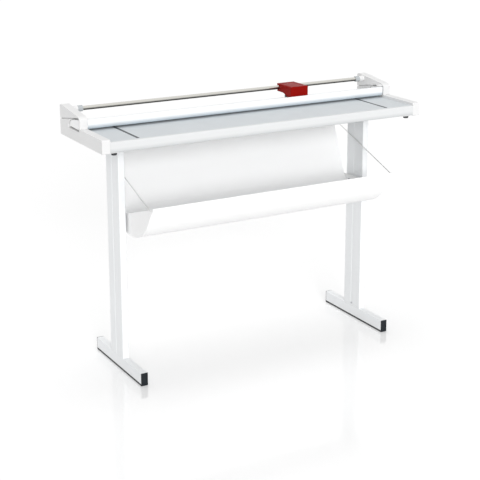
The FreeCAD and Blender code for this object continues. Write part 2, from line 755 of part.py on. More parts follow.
def build_clamp():
    half = half_table - c("clamp_end_gap")
    section = prism("ClampSection", "YZ_Plane", -half, 2 * half, clamp_points(length(0)), [
        ((7,), c("clamp_round")), ((6,), c("clamp_round") / 2), ((0,), c("clamp_round") * 1.5),
        ((1,), c("clamp_round") / 2), ((3, 4), c("clamp_round") * 0.75),
    ])
    hollow = prism("ClampHollow", "YZ_Plane", -half - 1, 2 * half + 2, clamp_points(c("clamp_wall")))
    low = clamp_low
    grooves = []
    strips = []
    pads = (c("clamp_front_reach") - c("pad_strip_front_inset"), c("clamp_rear_reach") + c("pad_strip_rear_inset"))
    rib = c("pad_rib")
    for index, reach in enumerate(pads):
        y = shaft_y - reach - c("pad_strip_width") / 2
        grooves.append(box(f"PadGroove{index}", -half - 1, y, low - 1, 2 * half + 2, c("pad_strip_width"),
                           c("pad_strip_depth") - c("pad_strip_stand") + 1))
        strips.append(box(f"PadStrip{index}", -half, y, low - c("pad_strip_stand"), 2 * half,
                          c("pad_strip_width"), c("pad_strip_depth")))
    ribs = [
        box(f"ClampRib{index}", -half, shaft_y - reach - c("pad_strip_width") / 2 - rib, low, 2 * half,
            c("pad_strip_width") + 2 * rib, c("pad_strip_depth") + rib)
        for index, reach in enumerate(pads)
    ]
    tube = cut("ClampTube", section, hollow)
    part("clamp_bar", cut("ClampBar", fuse("ClampRibbed", tube, *ribs), *grooves))
    part("clamp_strips", group("ClampStrips", *strips))
    # The end piece is a tongue that fills the arch under the end block with a small gap all round.
    leg_rear = ahead("block_nose_reach") + c("leg_thick")
    gap = c("tongue_gap")
    seat_end = c("seat_end_reach") + 2 * gap
    drop = c("tongue_drop")
    front_seat = seat_height(c("seat_front_reach"))
    tip = c("cap_width") - gap
    tongue = prism("TongueSection", "YZ_Plane", half, c("clamp_end_gap") + tip, [
        (leg_rear + gap, low), (ahead("seat_foot_reach") - 2 * gap, low),
        (shaft_y - seat_end, seat_height(seat_end) - drop), (ahead("seat_front_reach"), front_seat - drop),
        (leg_rear + gap, front_seat - 2 * drop),
    ], [((3, 4), gap), ((2,), gap)])
    spring_x = half_table + c("cap_width") / 2
    pot = rod("TongueBore", "Z", spring_x, ahead("spring_reach"), low - 1, c("spring_radius") + c("fit_gap"),
              c("spring_pocket") + 1)
    right_end = cut("RightTongue", tongue, pot)
    part("right_clamp_end", right_end)
    part("left_clamp_end", mirrored("LeftTongue", right_end))
    springs = []
    for side in (-1, 1):
        x = side * spring_x
        base = top - 1 - c("spring_depth")
        high = low + c("spring_pocket") - base
        coil = rod(f"SpringOuter{side}".replace("-", "L"), "Z", x, ahead("spring_reach"), base,
                   c("spring_radius"), high)
        hole = rod(f"SpringInner{side}".replace("-", "L"), "Z", x, ahead("spring_reach"), base - 1,
                   c("spring_radius") - c("spring_wire"), high + 2)
        springs.append(cut(f"Spring{side}".replace("-", "L"), coil, hole))
    part("clamp_springs", group("ClampSprings", *springs))


def build_head():
    half = c("head_width") / 2
    middle = c("head_rest")
    rear = shaft_y + c("head_rear")
    front = ahead("head_reach")
    wall = c("head_wall")
    left = middle - half
    skirt = track_z + c("head_skirt_gap")
    slope = shaft_z - c("head_slope_drop")
    crown = shaft_z + c("head_crown")
    skin = prism("HeadSection", "YZ_Plane", left, c("head_width"), [
        (front, skirt), (ahead("block_back_reach"), skirt),
        (ahead("slope_back_reach"), slope), (rear, slope),
        (rear, crown), (front, crown),
    ], [((5,), c("head_round")), ((4,), c("head_round") * 2), ((2,), c("head_round") * 3)])
    cavity = box("HeadCavity", left + wall, front + wall, skirt - 1, c("head_width") - 2 * wall,
                 rear - front - 2 * wall, crown - wall - skirt + 1)
    shaft_hole = rod("HeadShaftHole", "X", left - 1, shaft_y, shaft_z, c("shaft_radius") + c("head_shaft_gap"),
                     c("head_width") + 2)
    deck_low = shaft_z - c("deck_drop")
    deck_high = deck_low + c("deck_thick")
    roof = crown - wall
    post_y = ahead("slope_back_reach")
    screw_reach = c("head_screw_spread") / 2
    pilot_deep = (roof - deck_high) * 0.75
    pillars = [
        rod(f"HeadPillar{index}", "Z", middle + side * screw_reach, post_y, deck_high, c("head_pillar_radius"),
            roof - deck_high + wall / 5)
        for index, side in enumerate((-1, 1))
    ]
    pilot = [
        faceted(f"HeadPilot{index}", "Z", middle + side * screw_reach, post_y, deck_high - 1, c("screw_radius"),
            pilot_deep + 1)
        for index, side in enumerate((-1, 1))
    ]
    shell = cut("HeadShell", skin, cavity, shaft_hole)
    part("head_cover", cut("HeadCover", fuse("HeadRibbed", shell, *pillars), *pilot))
    # The chassis: a bored block on the guide shaft, a deck reaching forward, ears for the rollers, an arm down
    # to the blade's axle.
    wide = c("chassis_width")
    block_left = middle - wide / 2
    block_front = ahead("chassis_front")
    block_rear = shaft_y + c("chassis_rear")
    block_high = shaft_z + c("bush_radius") + c("chassis_crown")
    block = box("ChassisBlock", block_left, block_front, deck_low, wide, block_rear - block_front,
                block_high - deck_low)
    deck_front = front + wall + 1
    deck = box("ChassisDeck", block_left, deck_front, deck_low, wide, block_front - deck_front + 1,
               c("deck_thick"))
    ear_low = skirt
    roller_y = ahead("roller_reach")
    half_roller = c("roller_width") / 2 + c("fit_gap")
    ears = []
    for index, x in enumerate((-1, 1)):
        for y in (roller_y - half_roller - c("ear_thick"), roller_y + half_roller):
            ears.append(box(f"ChassisEar{len(ears)}", middle + (x * c("roller_spread") - c("ear_width")) / 2, y,
                            ear_low, c("ear_width"), c("ear_thick"), deck_low - ear_low + 1))
    axle_x = middle + c("blade_offset")
    axle_z = top - c("blade_dip") + c("blade_radius")
    cut_plane = ahead("knife_reach") + c("cutter_gap")
    arm_rear = cut_plane - c("washer_thick") - c("cutter_gap")
    arm_low = axle_z - c("arm_width") / 2 + 3
    arm = box("ChassisArm", axle_x - c("arm_width") / 2, arm_rear - c("arm_thick"), arm_low, c("arm_width"),
              c("arm_thick"), deck_low - arm_low + 1)
    bush_bore = rod("ChassisBore", "X", block_left - 1, shaft_y, shaft_z, c("bush_radius"), wide + 2)
    axle_bore = rod("ChassisAxleBore", "Y", axle_x, arm_rear - c("arm_thick") - 1, axle_z, c("axle_radius"),
                    c("arm_thick") + 2)
    roller_z = track_z + c("roller_radius") + c("fit_gap")
    pins = []
    pin_bores = []
    rollers = []
    pin_long = 2 * (half_roller + c("ear_thick"))
    for index, x in enumerate((-1, 1)):
        spot = middle + x * c("roller_spread") / 2
        pin_y = roller_y - pin_long / 2
        pin_bores.append(rod(f"ChassisPinBore{index}", "Y", spot, pin_y - 1, roller_z, c("pin_radius"),
                             pin_long + 2))
        pins.append(rod(f"RollerPin{index}", "Y", spot, pin_y, roller_z, c("pin_radius"), pin_long))
        tyre = rod(f"RollerTyre{index}", "Y", spot, roller_y - c("roller_width") / 2, roller_z,
                   c("roller_radius"), c("roller_width"))
        hole = rod(f"RollerHole{index}", "Y", spot, roller_y - c("roller_width") / 2 - 1, roller_z,
                   c("pin_radius") + c("bush_gap"), c("roller_width") + 2)
        rollers.append(cut(f"Roller{index}", tyre, hole))
    screw_holes = [
        faceted(f"ChassisScrewHole{index}", "Z", middle + side * screw_reach, post_y, deck_low - 1,
            c("screw_radius") + c("fit_gap") / 2, c("deck_thick") + 2)
        for index, side in enumerate((-1, 1))
    ]
    blade_slot = rod("ChassisBladeSlot", "Y", axle_x, cut_plane - 1, axle_z, c("blade_radius") + 1.5,
                     c("blade_thick") + 2.5)
    chassis = cut("Chassis", fuse("ChassisBlank", block, deck, arm, *ears), bush_bore, axle_bore, blade_slot,
                  *pin_bores, *screw_holes)
    part("head_chassis", chassis)
    part("roller_pins", group("RollerPins", *pins))
    part("left_clamp_roller", rollers[0])
    part("right_clamp_roller", rollers[1])
    part("cover_screws", group("CoverScrews", *[
        screw(f"CoverScrew{index}", "Z", middle + side * screw_reach, post_y, deck_low, c("screw_radius"),
              c("deck_thick") + pilot_deep * 0.6, c("screw_head"), c("small_head_high"))
        for index, side in enumerate((-1, 1))
    ]))
    bushes = []
    wipers = []
    for side, name in ((-1, "left"), (1, "right")):
        start = block_left if side < 0 else middle + wide / 2 - c("bush_length")
        sleeve = rod(f"{name}BushBlank", "X", start, shaft_y, shaft_z, c("bush_radius"),
                     c("bush_length"))
        hole = rod(f"{name}BushHole", "X", start - 1, shaft_y, shaft_z,
                   c("shaft_radius") + c("bush_gap"), c("bush_length") + 2)
        bushes.append(cut(f"{name}Bush", sleeve, hole))
        wiper_x = block_left - c("wiper_thick") if side < 0 else middle + wide / 2
        felt = rod(f"{name}WiperBlank", "X", wiper_x, shaft_y, shaft_z, c("bush_radius") + 1,
                   c("wiper_thick"))
        eye = rod(f"{name}WiperHole", "X", wiper_x - 1, shaft_y, shaft_z,
                  c("shaft_radius") + 2 * c("bush_gap"), c("wiper_thick") + 2)
        wipers.append(cut(f"{name}Wiper", felt, eye))
    part("shaft_bushes", group("ShaftBushes", *bushes))
    part("shaft_wipers", group("ShaftWipers", *wipers))
    # The cutting blade: a disc ground to an edge on its rear side, flat where it meets the counter knife.
    edge = c("blade_land")
    disc = rod("BladeDisc", "Y", axle_x, cut_plane, axle_z, c("blade_radius"), edge)
    ground = taper("BladeGround", "Y", axle_x, cut_plane + edge, axle_z, c("blade_radius"),
                   c("blade_radius") - c("blade_bevel"), c("blade_thick") - edge)
    hub_y = cut_plane + c("blade_thick")
    hub_hole = rod("HubHole", "Y", axle_x, cut_plane - 1, axle_z, c("axle_radius") + c("bush_gap"),
                   c("blade_thick") + c("hub_length") + 2)
    blade_hole = rod("BladeHole", "Y", axle_x, cut_plane - 1, axle_z, c("axle_radius") + c("bush_gap"),
                     c("blade_thick") + 2)
    part("cutting_blade", cut("CuttingBlade", fuse("BladeBlank", disc, ground), blade_hole))
    hub = rod("HubBlank", "Y", axle_x, hub_y, axle_z, c("hub_radius"), c("hub_length"))
    part("blade_hub", cut("BladeHub", hub, hub_hole))
    axle_front = arm_rear - c("arm_thick") - 1
    head_y = hub_y + c("hub_length") + 5.5
    axle = rod("AxleShank", "Y", axle_x, axle_front, axle_z, c("axle_radius"), head_y - axle_front)
    axle_head = rod("AxleHead", "Y", axle_x, head_y, axle_z, 7, 3)
    part("blade_axle", fuse("BladeAxle", axle, axle_head))
    washer = rod("WasherBlank", "Y", axle_x, arm_rear, axle_z, 7.5, c("washer_thick"))
    washer_hole = rod("WasherHole", "Y", axle_x, arm_rear - 1, axle_z, c("axle_radius"), c("washer_thick") + 2)
    part("blade_washer", cut("BladeWasher", washer, washer_hole))
    spring_y = hub_y + c("hub_length") + c("cutter_gap")
    spring = rod("BladeSpringBlank", "Y", axle_x, spring_y, axle_z, 6.6, head_y - spring_y)
    spring_hole = rod("BladeSpringHole", "Y", axle_x, spring_y - 1, axle_z, 5, head_y - spring_y + 2)
    part("blade_spring", cut("BladeSpring", spring, spring_hole))


def point(reach, height):
    return Vector(0, shaft_y.number - length(reach).number, length(height).number)


def tray_path():
    # centre line of the sheet: flange, sloping panel, round trough and straight front
    panel_top = point(-(c("beam_front") + c("beam_depth") + c("sheet_thick") / 2), under - c("panel_top_drop"))
    flange = point(-(c("beam_front") + c("beam_depth") + c("sheet_thick") / 2), under + c("flange_rise"))
    foot = point(c("panel_foot_reach"), under - c("panel_foot_drop"))
    low = point(c("trough_low_reach"), under - c("trough_low_drop"))
    rise = point(c("rise_reach"), under - c("rise_drop"))
    lip = point(c("lip_reach"), (under - c("lip_drop")))
    return [
        Part.LineSegment(flange, panel_top), Part.LineSegment(panel_top, foot), Part.Arc(foot, low, rise),
        Part.LineSegment(rise, lip),
    ]


def built(name, shape):
    thing = doc.addObject("Part::Feature", name)
    thing.Shape = shape
    return thing


def bent_rod(name, points, radius):
    # straight runs of round wire with a ball at each bend
    pieces = []
    for here, there in zip(points, points[1:]):
        pieces.append(Part.makeCylinder(radius, here.distanceToPoint(there), here, there - here))
    balls = [Part.makeSphere(radius, spot) for spot in points[1:-1]]
    return built(name, pieces[0].fuse(pieces[1:] + balls))


def build_tray():
    half = half_tray.number
    thick = c("sheet_thick").number
    path = Part.Wire([curve.toShape() for curve in tray_path()])
    upper = path.makeOffset2D(thick / 2, fill=False, openResult=True)
    lower = path.makeOffset2D(-thick / 2, fill=False, openResult=True)
    closers = [
        Part.LineSegment(a, b).toShape()
        for a, b in zip(wire_ends(upper), nearest(wire_ends(upper), wire_ends(lower)))
    ]
    face = Part.Face(Part.Wire(Part.sortEdges(upper.Edges + lower.Edges + closers)[0]))
    sheet_metal = built("TraySheetMetal", face.extrude(Vector(2 * half, 0, 0)))
    place(sheet_metal, -half_tray, 0, 0)
    roll = rod("TrayRoll", "X", -half_tray, shaft_y - c("lip_reach"), (under - c("lip_drop")), c("lip_roll"),
               2 * half_tray)
    # Ears folded forward from the panel's edges take the stays' upper hooks.
    panel_top, panel_foot = (tray_path()[1].StartPoint, tray_path()[1].EndPoint)
    share = ((under - c("stay_top_drop")).number - panel_foot.z) / (panel_top.z - panel_foot.z)
    seat = panel_foot + (panel_top - panel_foot) * share
    along = (panel_top - panel_foot).normalize()
    out = Vector(0, -along.z, along.y)
    size = c("lug_size").number
    corners = [
        seat + along * -size * 0.7, seat + along * size * 0.7, seat + along * size * 0.4 + out * size,
        seat + along * -size * 0.4 + out * size,
    ]
    hook = seat + out * size * 0.6
    hook_hole = c("stay_radius").number + 0.2
    ear_face = Part.Face(Part.makePolygon(corners + corners[:1]))
    ears = []
    for x in (-half, half - thick):
        ear = ear_face.extrude(Vector(thick, 0, 0))
        ear.translate(Vector(x, 0, 0))
        hole = Part.makeCylinder(hook_hole, 4, Vector(x - 1, hook.y, hook.z), Vector(1, 0, 0))
        ears.append(built(f"TrayEar{len(ears)}", ear.cut(hole)))
    part("tray_sheet", fuse("TraySheet", sheet_metal, roll, *ears))
    # End plates close the trough; their rear part is held off the posts by spacers.
    arc, front_line = tray_path()[2:]
    foot, lip = arc.StartPoint, front_line.EndPoint
    notch = point(c("end_notch_reach"), under - c("end_notch_drop"))
    rim = [Part.LineSegment(lip, notch).toShape(), Part.LineSegment(notch, foot).toShape()]
    outline = Part.Wire([arc.toShape(), front_line.toShape()] + rim)
    low_hook = lip + (notch - lip).normalize() * size * 0.5 + (front_line.StartPoint - lip).normalize() * 5
    stay_x = (half_tray + c("tray_side_gap") * c("stay_offset_share")).number
    inside = half - c("stay_hook").number / 2
    for side, name in ((1, "right"), (-1, "left")):
        start = half if side > 0 else -half - thick
        plate = Part.Face(outline).extrude(Vector(thick, 0, 0))
        plate.translate(Vector(start, 0, 0))
        holes = [Part.makeCylinder(hook_hole, 4, Vector(start - 1, low_hook.y, low_hook.z), Vector(1, 0, 0))]
        for spot in tray_screw_spots():
            holes.append(Part.makeCylinder(c("screw_radius").number + 0.15, 4,
                                           Vector(start - 1, spot.number, tray_screw_z.number),
                                           Vector(1, 0, 0)))
        part(f"{name}_tray_end", built(f"{name}TrayEnd", plate.cut(holes)))
        wire = [
            Vector(side * inside, low_hook.y, low_hook.z), Vector(side * stay_x, low_hook.y, low_hook.z),
            Vector(side * stay_x, hook.y, hook.z), Vector(side * inside, hook.y, hook.z),
        ]
        part(f"{name}_stay", bent_rod(f"{name}Stay", wire, c("stay_radius").number))
    spacers = []
    screws = []
    for side in (1, -1):
        near = half_tray + c("sheet_thick")
        for spot in tray_screw_spots():
            number = len(spacers)
            start = near if side > 0 else -post_face
            tube = rod(f"SpacerTube{number}", "X", start, spot, tray_screw_z, c("spacer_radius"), post_face - near)
            hole = faceted(f"SpacerHole{number}", "X", start - 1, spot, tray_screw_z,
                       c("screw_radius") + c("fit_gap") / 2, post_face - near + 2)
            spacers.append(cut(f"Spacer{number}", tube, hole))
            screws.append(screw(f"TrayScrew{number}", "X", side * half_tray, spot, tray_screw_z,
                                c("screw_radius"), post_face - near + 3 * c("post_wall"), c("screw_head"),
                                c("small_head_high"), side))
    part("tray_spacers", group("TraySpacers", *spacers))
    part("tray_screws", group("TrayScrews", *screws))


def wire_ends(wire):
    points = [vertex.Point for vertex in wire.OrderedVertexes]
    return points[0], points[-1]


def nearest(anchors, candidates):
    return [min(candidates, key=lambda spot: spot.distanceToPoint(anchor)) for anchor in anchors]


build_stand()
build_stand_fasteners()
build_table()
build_ends()
build_clamp()
build_head()
build_tray()
doc.recompute()

for thing in doc.Objects:
    if "Invalid" in thing.State or "Error" in thing.State:
        raise SystemExit(f"{thing.Label} did not rebuild")
os.makedirs("parts", exist_ok=True)
for thing in parts:
    shape = thing.Shape
    if shape.isNull() or not shape.isValid():
        raise SystemExit(f"{thing.Label} has no valid shape")
for thing in parts:
    thing.Shape.exportStep(f"parts/{thing.Label}.step")
print(len(parts), "sub-parts written")
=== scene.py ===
import bpy
import bmesh
import json
import math
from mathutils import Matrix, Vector


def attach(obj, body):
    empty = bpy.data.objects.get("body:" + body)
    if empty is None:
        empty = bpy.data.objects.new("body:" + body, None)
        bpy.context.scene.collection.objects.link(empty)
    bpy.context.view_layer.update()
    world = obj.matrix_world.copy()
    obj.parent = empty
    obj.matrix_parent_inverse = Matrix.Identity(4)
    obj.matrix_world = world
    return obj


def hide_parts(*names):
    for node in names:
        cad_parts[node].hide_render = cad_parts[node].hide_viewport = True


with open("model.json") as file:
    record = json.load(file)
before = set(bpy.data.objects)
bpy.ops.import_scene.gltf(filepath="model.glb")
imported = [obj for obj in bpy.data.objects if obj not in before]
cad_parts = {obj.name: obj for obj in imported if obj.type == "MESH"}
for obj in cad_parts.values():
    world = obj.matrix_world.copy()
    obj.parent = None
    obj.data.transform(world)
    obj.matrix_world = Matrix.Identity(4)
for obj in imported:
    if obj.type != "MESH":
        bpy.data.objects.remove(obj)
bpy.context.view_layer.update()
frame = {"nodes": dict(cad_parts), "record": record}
nodes = frame["nodes"]
millimetre = 0.001


# camera at the photograph's angle, in millimetres and degrees
camera = {
    "place": (-2272.8, -3969.6, 1872.5),
    "turnRight": 29.433,
    "tiltDown": 14.291,
    "roll": 0.059,
    "lens": 93.21,
    "sensor": 36.0,
    "shiftUp": -0.15,
    "farEnd": 60000.0,
}


def makeCamera():
    bpy.ops.object.camera_add(location=[value * millimetre for value in camera["place"]])
    eye = bpy.context.object
    eye.name = "photographCamera"
    eye.rotation_euler = (math.radians(90 - camera["tiltDown"]), math.radians(camera["roll"]),
                          math.radians(-camera["turnRight"]))
    eye.data.sensor_width = camera["sensor"]
    eye.data.lens = camera["lens"]
    eye.data.shift_y = camera["shiftUp"]
    eye.data.clip_end = camera["farEnd"] * millimetre
    bpy.context.scene.camera = eye


makeCamera()
print("camera placed")


# shared shader effects
def newGroup(name, inputs, outputs):
    group = bpy.data.node_groups.new(name, "ShaderNodeTree")
    for label, kind, value in inputs:
        socket = group.interface.new_socket(name=label, in_out="INPUT", socket_type=kind)
        socket.default_value = value
    for label, kind in outputs:
        group.interface.new_socket(name=label, in_out="OUTPUT", socket_type=kind)
    entry = group.nodes.new("NodeGroupInput")
    leave = group.nodes.new("NodeGroupOutput")
    return group, group.nodes, group.links, entry, leave


def mathNode(made, operation, kind="ShaderNodeMath"):
    node = made.new(kind)
    node.operation = operation
    return node


def noiseNode(made, detail, scale=1.0):
    node = made.new("ShaderNodeTexNoise")
    node.inputs["Detail"].default_value = detail
    node.inputs["Scale"].default_value = scale
    return node


coatNoise = {"grainDetail": 4, "driftDetail": 3, "driftScale": 7, "driftLow": 0.3, "driftHigh": 0.7}


def makeCoatGrain(noise):
    # fine even bumps and slow colour drift of a powder coat or moulded skin
    group, made, links, entry, leave = newGroup(
        "coatGrain",
        [("Scale", "NodeSocketFloat", 900.0), ("Drift", "NodeSocketFloat", 0.03),
         ("Low Roughness", "NodeSocketFloat", 0.4), ("High Roughness", "NodeSocketFloat", 0.5),
         ("Colour", "NodeSocketColor", (0.8, 0.8, 0.8, 1))],
        [("Colour", "NodeSocketColor"), ("Roughness", "NodeSocketFloat"), ("Height", "NodeSocketFloat")],
    )
    spot = made.new("ShaderNodeTexCoord")
    grain = noiseNode(made, noise["grainDetail"])
    slow = noiseNode(made, noise["driftDetail"], noise["driftScale"])
    links.new(spot.outputs["Object"], grain.inputs["Vector"])
    links.new(spot.outputs["Object"], slow.inputs["Vector"])
    links.new(entry.outputs["Scale"], grain.inputs["Scale"])
    shift = made.new("ShaderNodeMapRange")
    shift.inputs["From Min"].default_value = noise["driftLow"]
    shift.inputs["From Max"].default_value = noise["driftHigh"]
    links.new(slow.outputs["Fac"], shift.inputs["Value"])
    links.new(entry.outputs["Low Roughness"], shift.inputs["To Min"])
    links.new(entry.outputs["High Roughness"], shift.inputs["To Max"])
    links.new(shift.outputs["Result"], leave.inputs["Roughness"])
    darker = mathNode(made, "MULTIPLY")
    links.new(slow.outputs["Fac"], darker.inputs[0])
    links.new(entry.outputs["Drift"], darker.inputs[1])
    keep = mathNode(made, "SUBTRACT")
    keep.inputs[0].default_value = 1.0
    links.new(darker.outputs["Value"], keep.inputs[1])
    tone = mathNode(made, "SCALE", "ShaderNodeVectorMath")
    links.new(entry.outputs["Colour"], tone.inputs[0])
    links.new(keep.outputs["Value"], tone.inputs["Scale"])
    links.new(tone.outputs["Vector"], leave.inputs["Colour"])
    links.new(grain.outputs["Fac"], leave.inputs["Height"])
    return group


brushNoise = {"detail": 5, "middle": 0.5}


def makeBrushing(noise):
    # long scratches of grinding or extruding along one axis
    group, made, links, entry, leave = newGroup(
        "brushing",
        [("Stretch", "NodeSocketVector", (4.0, 900.0, 900.0)), ("Depth", "NodeSocketFloat", 0.1),
         ("Roughness", "NodeSocketFloat", 0.3), ("Colour", "NodeSocketColor", (0.7, 0.7, 0.7, 1))],
        [("Colour", "NodeSocketColor"), ("Roughness", "NodeSocketFloat"), ("Height", "NodeSocketFloat")],
    )
    spot = made.new("ShaderNodeTexCoord")
    stretch = mathNode(made, "MULTIPLY", "ShaderNodeVectorMath")
    links.new(spot.outputs["Object"], stretch.inputs[0])
    links.new(entry.outputs["Stretch"], stretch.inputs[1])
    scratch = noiseNode(made, noise["detail"])
    links.new(stretch.outputs["Vector"], scratch.inputs["Vector"])
    centred = mathNode(made, "SUBTRACT")
    centred.inputs[1].default_value = noise["middle"]
    links.new(scratch.outputs["Fac"], centred.inputs[0])
    deep = mathNode(made, "MULTIPLY")
    links.new(centred.outputs["Value"], deep.inputs[0])
    links.new(entry.outputs["Depth"], deep.inputs[1])
    rough = mathNode(made, "ADD")
    links.new(deep.outputs["Value"], rough.inputs[0])
    links.new(entry.outputs["Roughness"], rough.inputs[1])
    links.new(rough.outputs["Value"], leave.inputs["Roughness"])
    bright = mathNode(made, "ADD")
    bright.inputs[1].default_value = 1.0
    links.new(deep.outputs["Value"], bright.inputs[0])
    tone = mathNode(made, "SCALE", "ShaderNodeVectorMath")
    links.new(entry.outputs["Colour"], tone.inputs[0])
    links.new(bright.outputs["Value"], tone.inputs["Scale"])
    links.new(tone.outputs["Vector"], leave.inputs["Colour"])
    links.new(scratch.outputs["Fac"], leave.inputs["Height"])
    return group


coatGrain = makeCoatGrain(coatNoise)
brushing = makeBrushing(brushNoise)


def newMaterial(name, plain):
    material = bpy.data.materials.new(name)
    material.use_nodes = True
    tree = material.node_tree
    shader = tree.nodes["Principled BSDF"]
    for label, value in plain.items():
        shader.inputs[label.replace("_", " ")].default_value = value
    return material, tree.nodes, tree.links, shader


def useGroup(made, group, values):
    node = made.new("ShaderNodeGroup")
    node.node_tree = group
    for label, value in values.items():
        node.inputs[label].default_value = value
    return node


def addBump(made, links, shader, height, strength, distance):
    bump = made.new("ShaderNodeBump")
    bump.inputs["Strength"].default_value = strength
    bump.inputs["Distance"].default_value = distance * millimetre
    links.new(height, bump.inputs["Height"])
    links.new(bump.outputs["Normal"], shader.inputs["Normal"])


def marked(name, group, values, strength, distance, plain):
    # a material whose colour, roughness and bumps come from one shared effect
    material, made, links, shader = newMaterial(name, plain)
    marks = useGroup(made, group, values)
    links.new(marks.outputs["Colour"], shader.inputs["Base Color"])
    links.new(marks.outputs["Roughness"], shader.inputs["Roughness"])
    addBump(made, links, shader, marks.outputs["Height"], strength, distance)
    return material


def coated(name, colour, low, high, scale=900.0, drift=0.03, strength=0.12, distance=0.05, **plain):
    values = {"Scale": scale, "Drift": drift, "Low Roughness": low, "High Roughness": high,
              "Colour": (*colour, 1)}
    return marked(name, coatGrain, values, strength, distance, plain)


def metal(name, colour, stretch, depth, roughness, strength=0.08, distance=0.02):
    values = {"Stretch": stretch, "Depth": depth, "Roughness": roughness, "Colour": (*colour, 1)}
    return marked(name, brushing, values, strength, distance, {"Metallic": 1.0})


# finishes by the record's material slot
finishes = {
    "white_paint": coated("whitePowderCoat", (0.83, 0.845, 0.855), 0.36, 0.46, scale=1400, drift=0.03),
    "table_grey": coated("tableCoat", (0.59, 0.62, 0.64), 0.42, 0.52, scale=1900, drift=0.05, strength=0.2,
                         Specular_IOR_Level=0.35),
    "tray_white": coated("traySheetCoat", (0.89, 0.89, 0.89), 0.42, 0.5, scale=1500, drift=0.01,
                         Specular_IOR_Level=0.12),
    "rail_white": coated("railCoat", (0.68, 0.69, 0.695), 0.32, 0.4, scale=1600, drift=0.03, strength=0.08,
                         Specular_IOR_Level=0.12),
    "clamp_white": coated("clampCoat", (0.87, 0.885, 0.895), 0.28, 0.36, scale=1600, drift=0.02,
                          strength=0.08),
    "moulded_grey": coated("mouldedGrey", (0.75, 0.75, 0.75), 0.45, 0.58, scale=700, drift=0.06,
                           strength=0.3, distance=0.1),
    "black_plastic": coated("blackMoulding", (0.012, 0.016, 0.020), 0.42, 0.55, scale=800, drift=0.2,
                            strength=0.3, distance=0.1, Specular_IOR_Level=0.2),
    "dark_line": coated("sideLineStrip", (0.028, 0.036, 0.044), 0.45, 0.55, scale=1200, drift=0.1),
    "rubber": coated("softRubber", (0.032, 0.034, 0.037), 0.62, 0.75, scale=600, drift=0.25, strength=0.35,
                     distance=0.12),
    "grey_rubber": coated("greyRubber", (0.46, 0.485, 0.50), 0.5, 0.62, scale=500, drift=0.1),
    "white_moulding": coated("whiteMoulding", (0.87, 0.875, 0.88), 0.34, 0.44, scale=800, drift=0.03),
    "ground_steel": metal("groundShaft", (0.68, 0.67, 0.63), (3.0, 700.0, 700.0), 0.12, 0.14),
    "blade_steel": metal("knifeSteel", (0.62, 0.63, 0.64), (5.0, 900.0, 900.0), 0.2, 0.22),
    "plain_steel": metal("plainSteel", (0.76, 0.76, 0.75), (60.0, 60.0, 400.0), 0.2, 0.36),
    "zinc_screws": metal("zincPlate", (0.50, 0.51, 0.53), (150.0, 150.0, 150.0), 0.25, 0.32),
    "red_cover": coated("redMoulding", (0.26, 0.004, 0.002), 0.34, 0.42, scale=1100, drift=0.08,
                        strength=0.1, Specular_IOR_Level=0.06),
    "chassis_metal": metal("castChassis", (0.16, 0.165, 0.175), (220.0, 220.0, 220.0), 0.3, 0.5,
                           strength=0.3),
    "bronze": metal("sinteredBronze", (0.42, 0.26, 0.11), (500.0, 500.0, 500.0), 0.3, 0.42, strength=0.3),
    "felt": coated("wiperFelt", (0.05, 0.05, 0.052), 0.85, 0.95, scale=350, drift=0.3, strength=0.8,
                   distance=0.3),
}

# painted shade by height: the clamp bar's chin (painted shade and a painted reflection of the grey table),
# the rail's foot (painted shade on its lower edge) and the shaft's underside (a painted dark reflection) are
# darker than their tops
clampChinPaintedShade = {"colour": (0.52, 0.59, 0.64), "low": 925.0, "high": 939.0}
railFootPaintedShade = {"colour": (0.55, 0.565, 0.57), "low": 880.0, "high": 894.0}
shaftUndersidePaintedReflection = {"colour": (0.08, 0.076, 0.068), "low": 967.5, "high": 972.5}


def shadeUnderside(material, shade):
    # painted shade: the colour below the low height turns into the material's own at the high one
    made, links = material.node_tree.nodes, material.node_tree.links
    grain = next(node for node in made if node.type == "GROUP")
    spot = made.new("ShaderNodeTexCoord")
    apart = made.new("ShaderNodeSeparateXYZ")
    rise = made.new("ShaderNodeMapRange")
    rise.inputs["From Min"].default_value = shade["low"] * millimetre
    rise.inputs["From Max"].default_value = shade["high"] * millimetre
    blend = made.new("ShaderNodeMix")
    blend.data_type = "RGBA"
    blend.inputs["A"].default_value = (*shade["colour"], 1)
    blend.inputs["B"].default_value = grain.inputs["Colour"].default_value
    links.new(spot.outputs["Object"], apart.inputs["Vector"])
    links.new(apart.outputs["Z"], rise.inputs["Value"])
    links.new(rise.outputs["Result"], blend.inputs["Factor"])
    links.new(blend.outputs["Result"], grain.inputs["Colour"])


# painted shade and painted reflection of the table on the clamp bar's chin
shadeUnderside(finishes["clamp_white"], clampChinPaintedShade)
# painted shade on the front rail's lower edge
shadeUnderside(finishes["rail_white"], railFootPaintedShade)
# painted dark reflection on the guide shaft's underside
shadeUnderside(finishes["ground_steel"], shaftUndersidePaintedReflection)

for subpart in frame["record"]["subparts"]:
    node = nodes[subpart["node"]]
    node.data.materials.clear()
    node.data.materials.append(finishes[subpart["material_slot"]])
print("finishes on the carried nodes")


# modelling helpers, in millimetres
bodyOf = {node: body for body, members in frame["record"]["behaviour"]["bodies"].items() for node in members}
slotOf = {subpart["node"]: subpart["material_slot"] for subpart in frame["record"]["subparts"]}
closeBy = 0.03 * millimetre


def inMetres(spot):
    return Vector(spot) * millimetre


def pick(piece):
    bpy.ops.object.select_all(action="DESELECT")
    piece.select_set(True)
    bpy.context.view_layer.objects.active = piece


def editMode(piece):
    pick(piece)
    bpy.ops.object.mode_set(mode="EDIT")


def objectMode():
    bpy.ops.object.mode_set(mode="OBJECT")


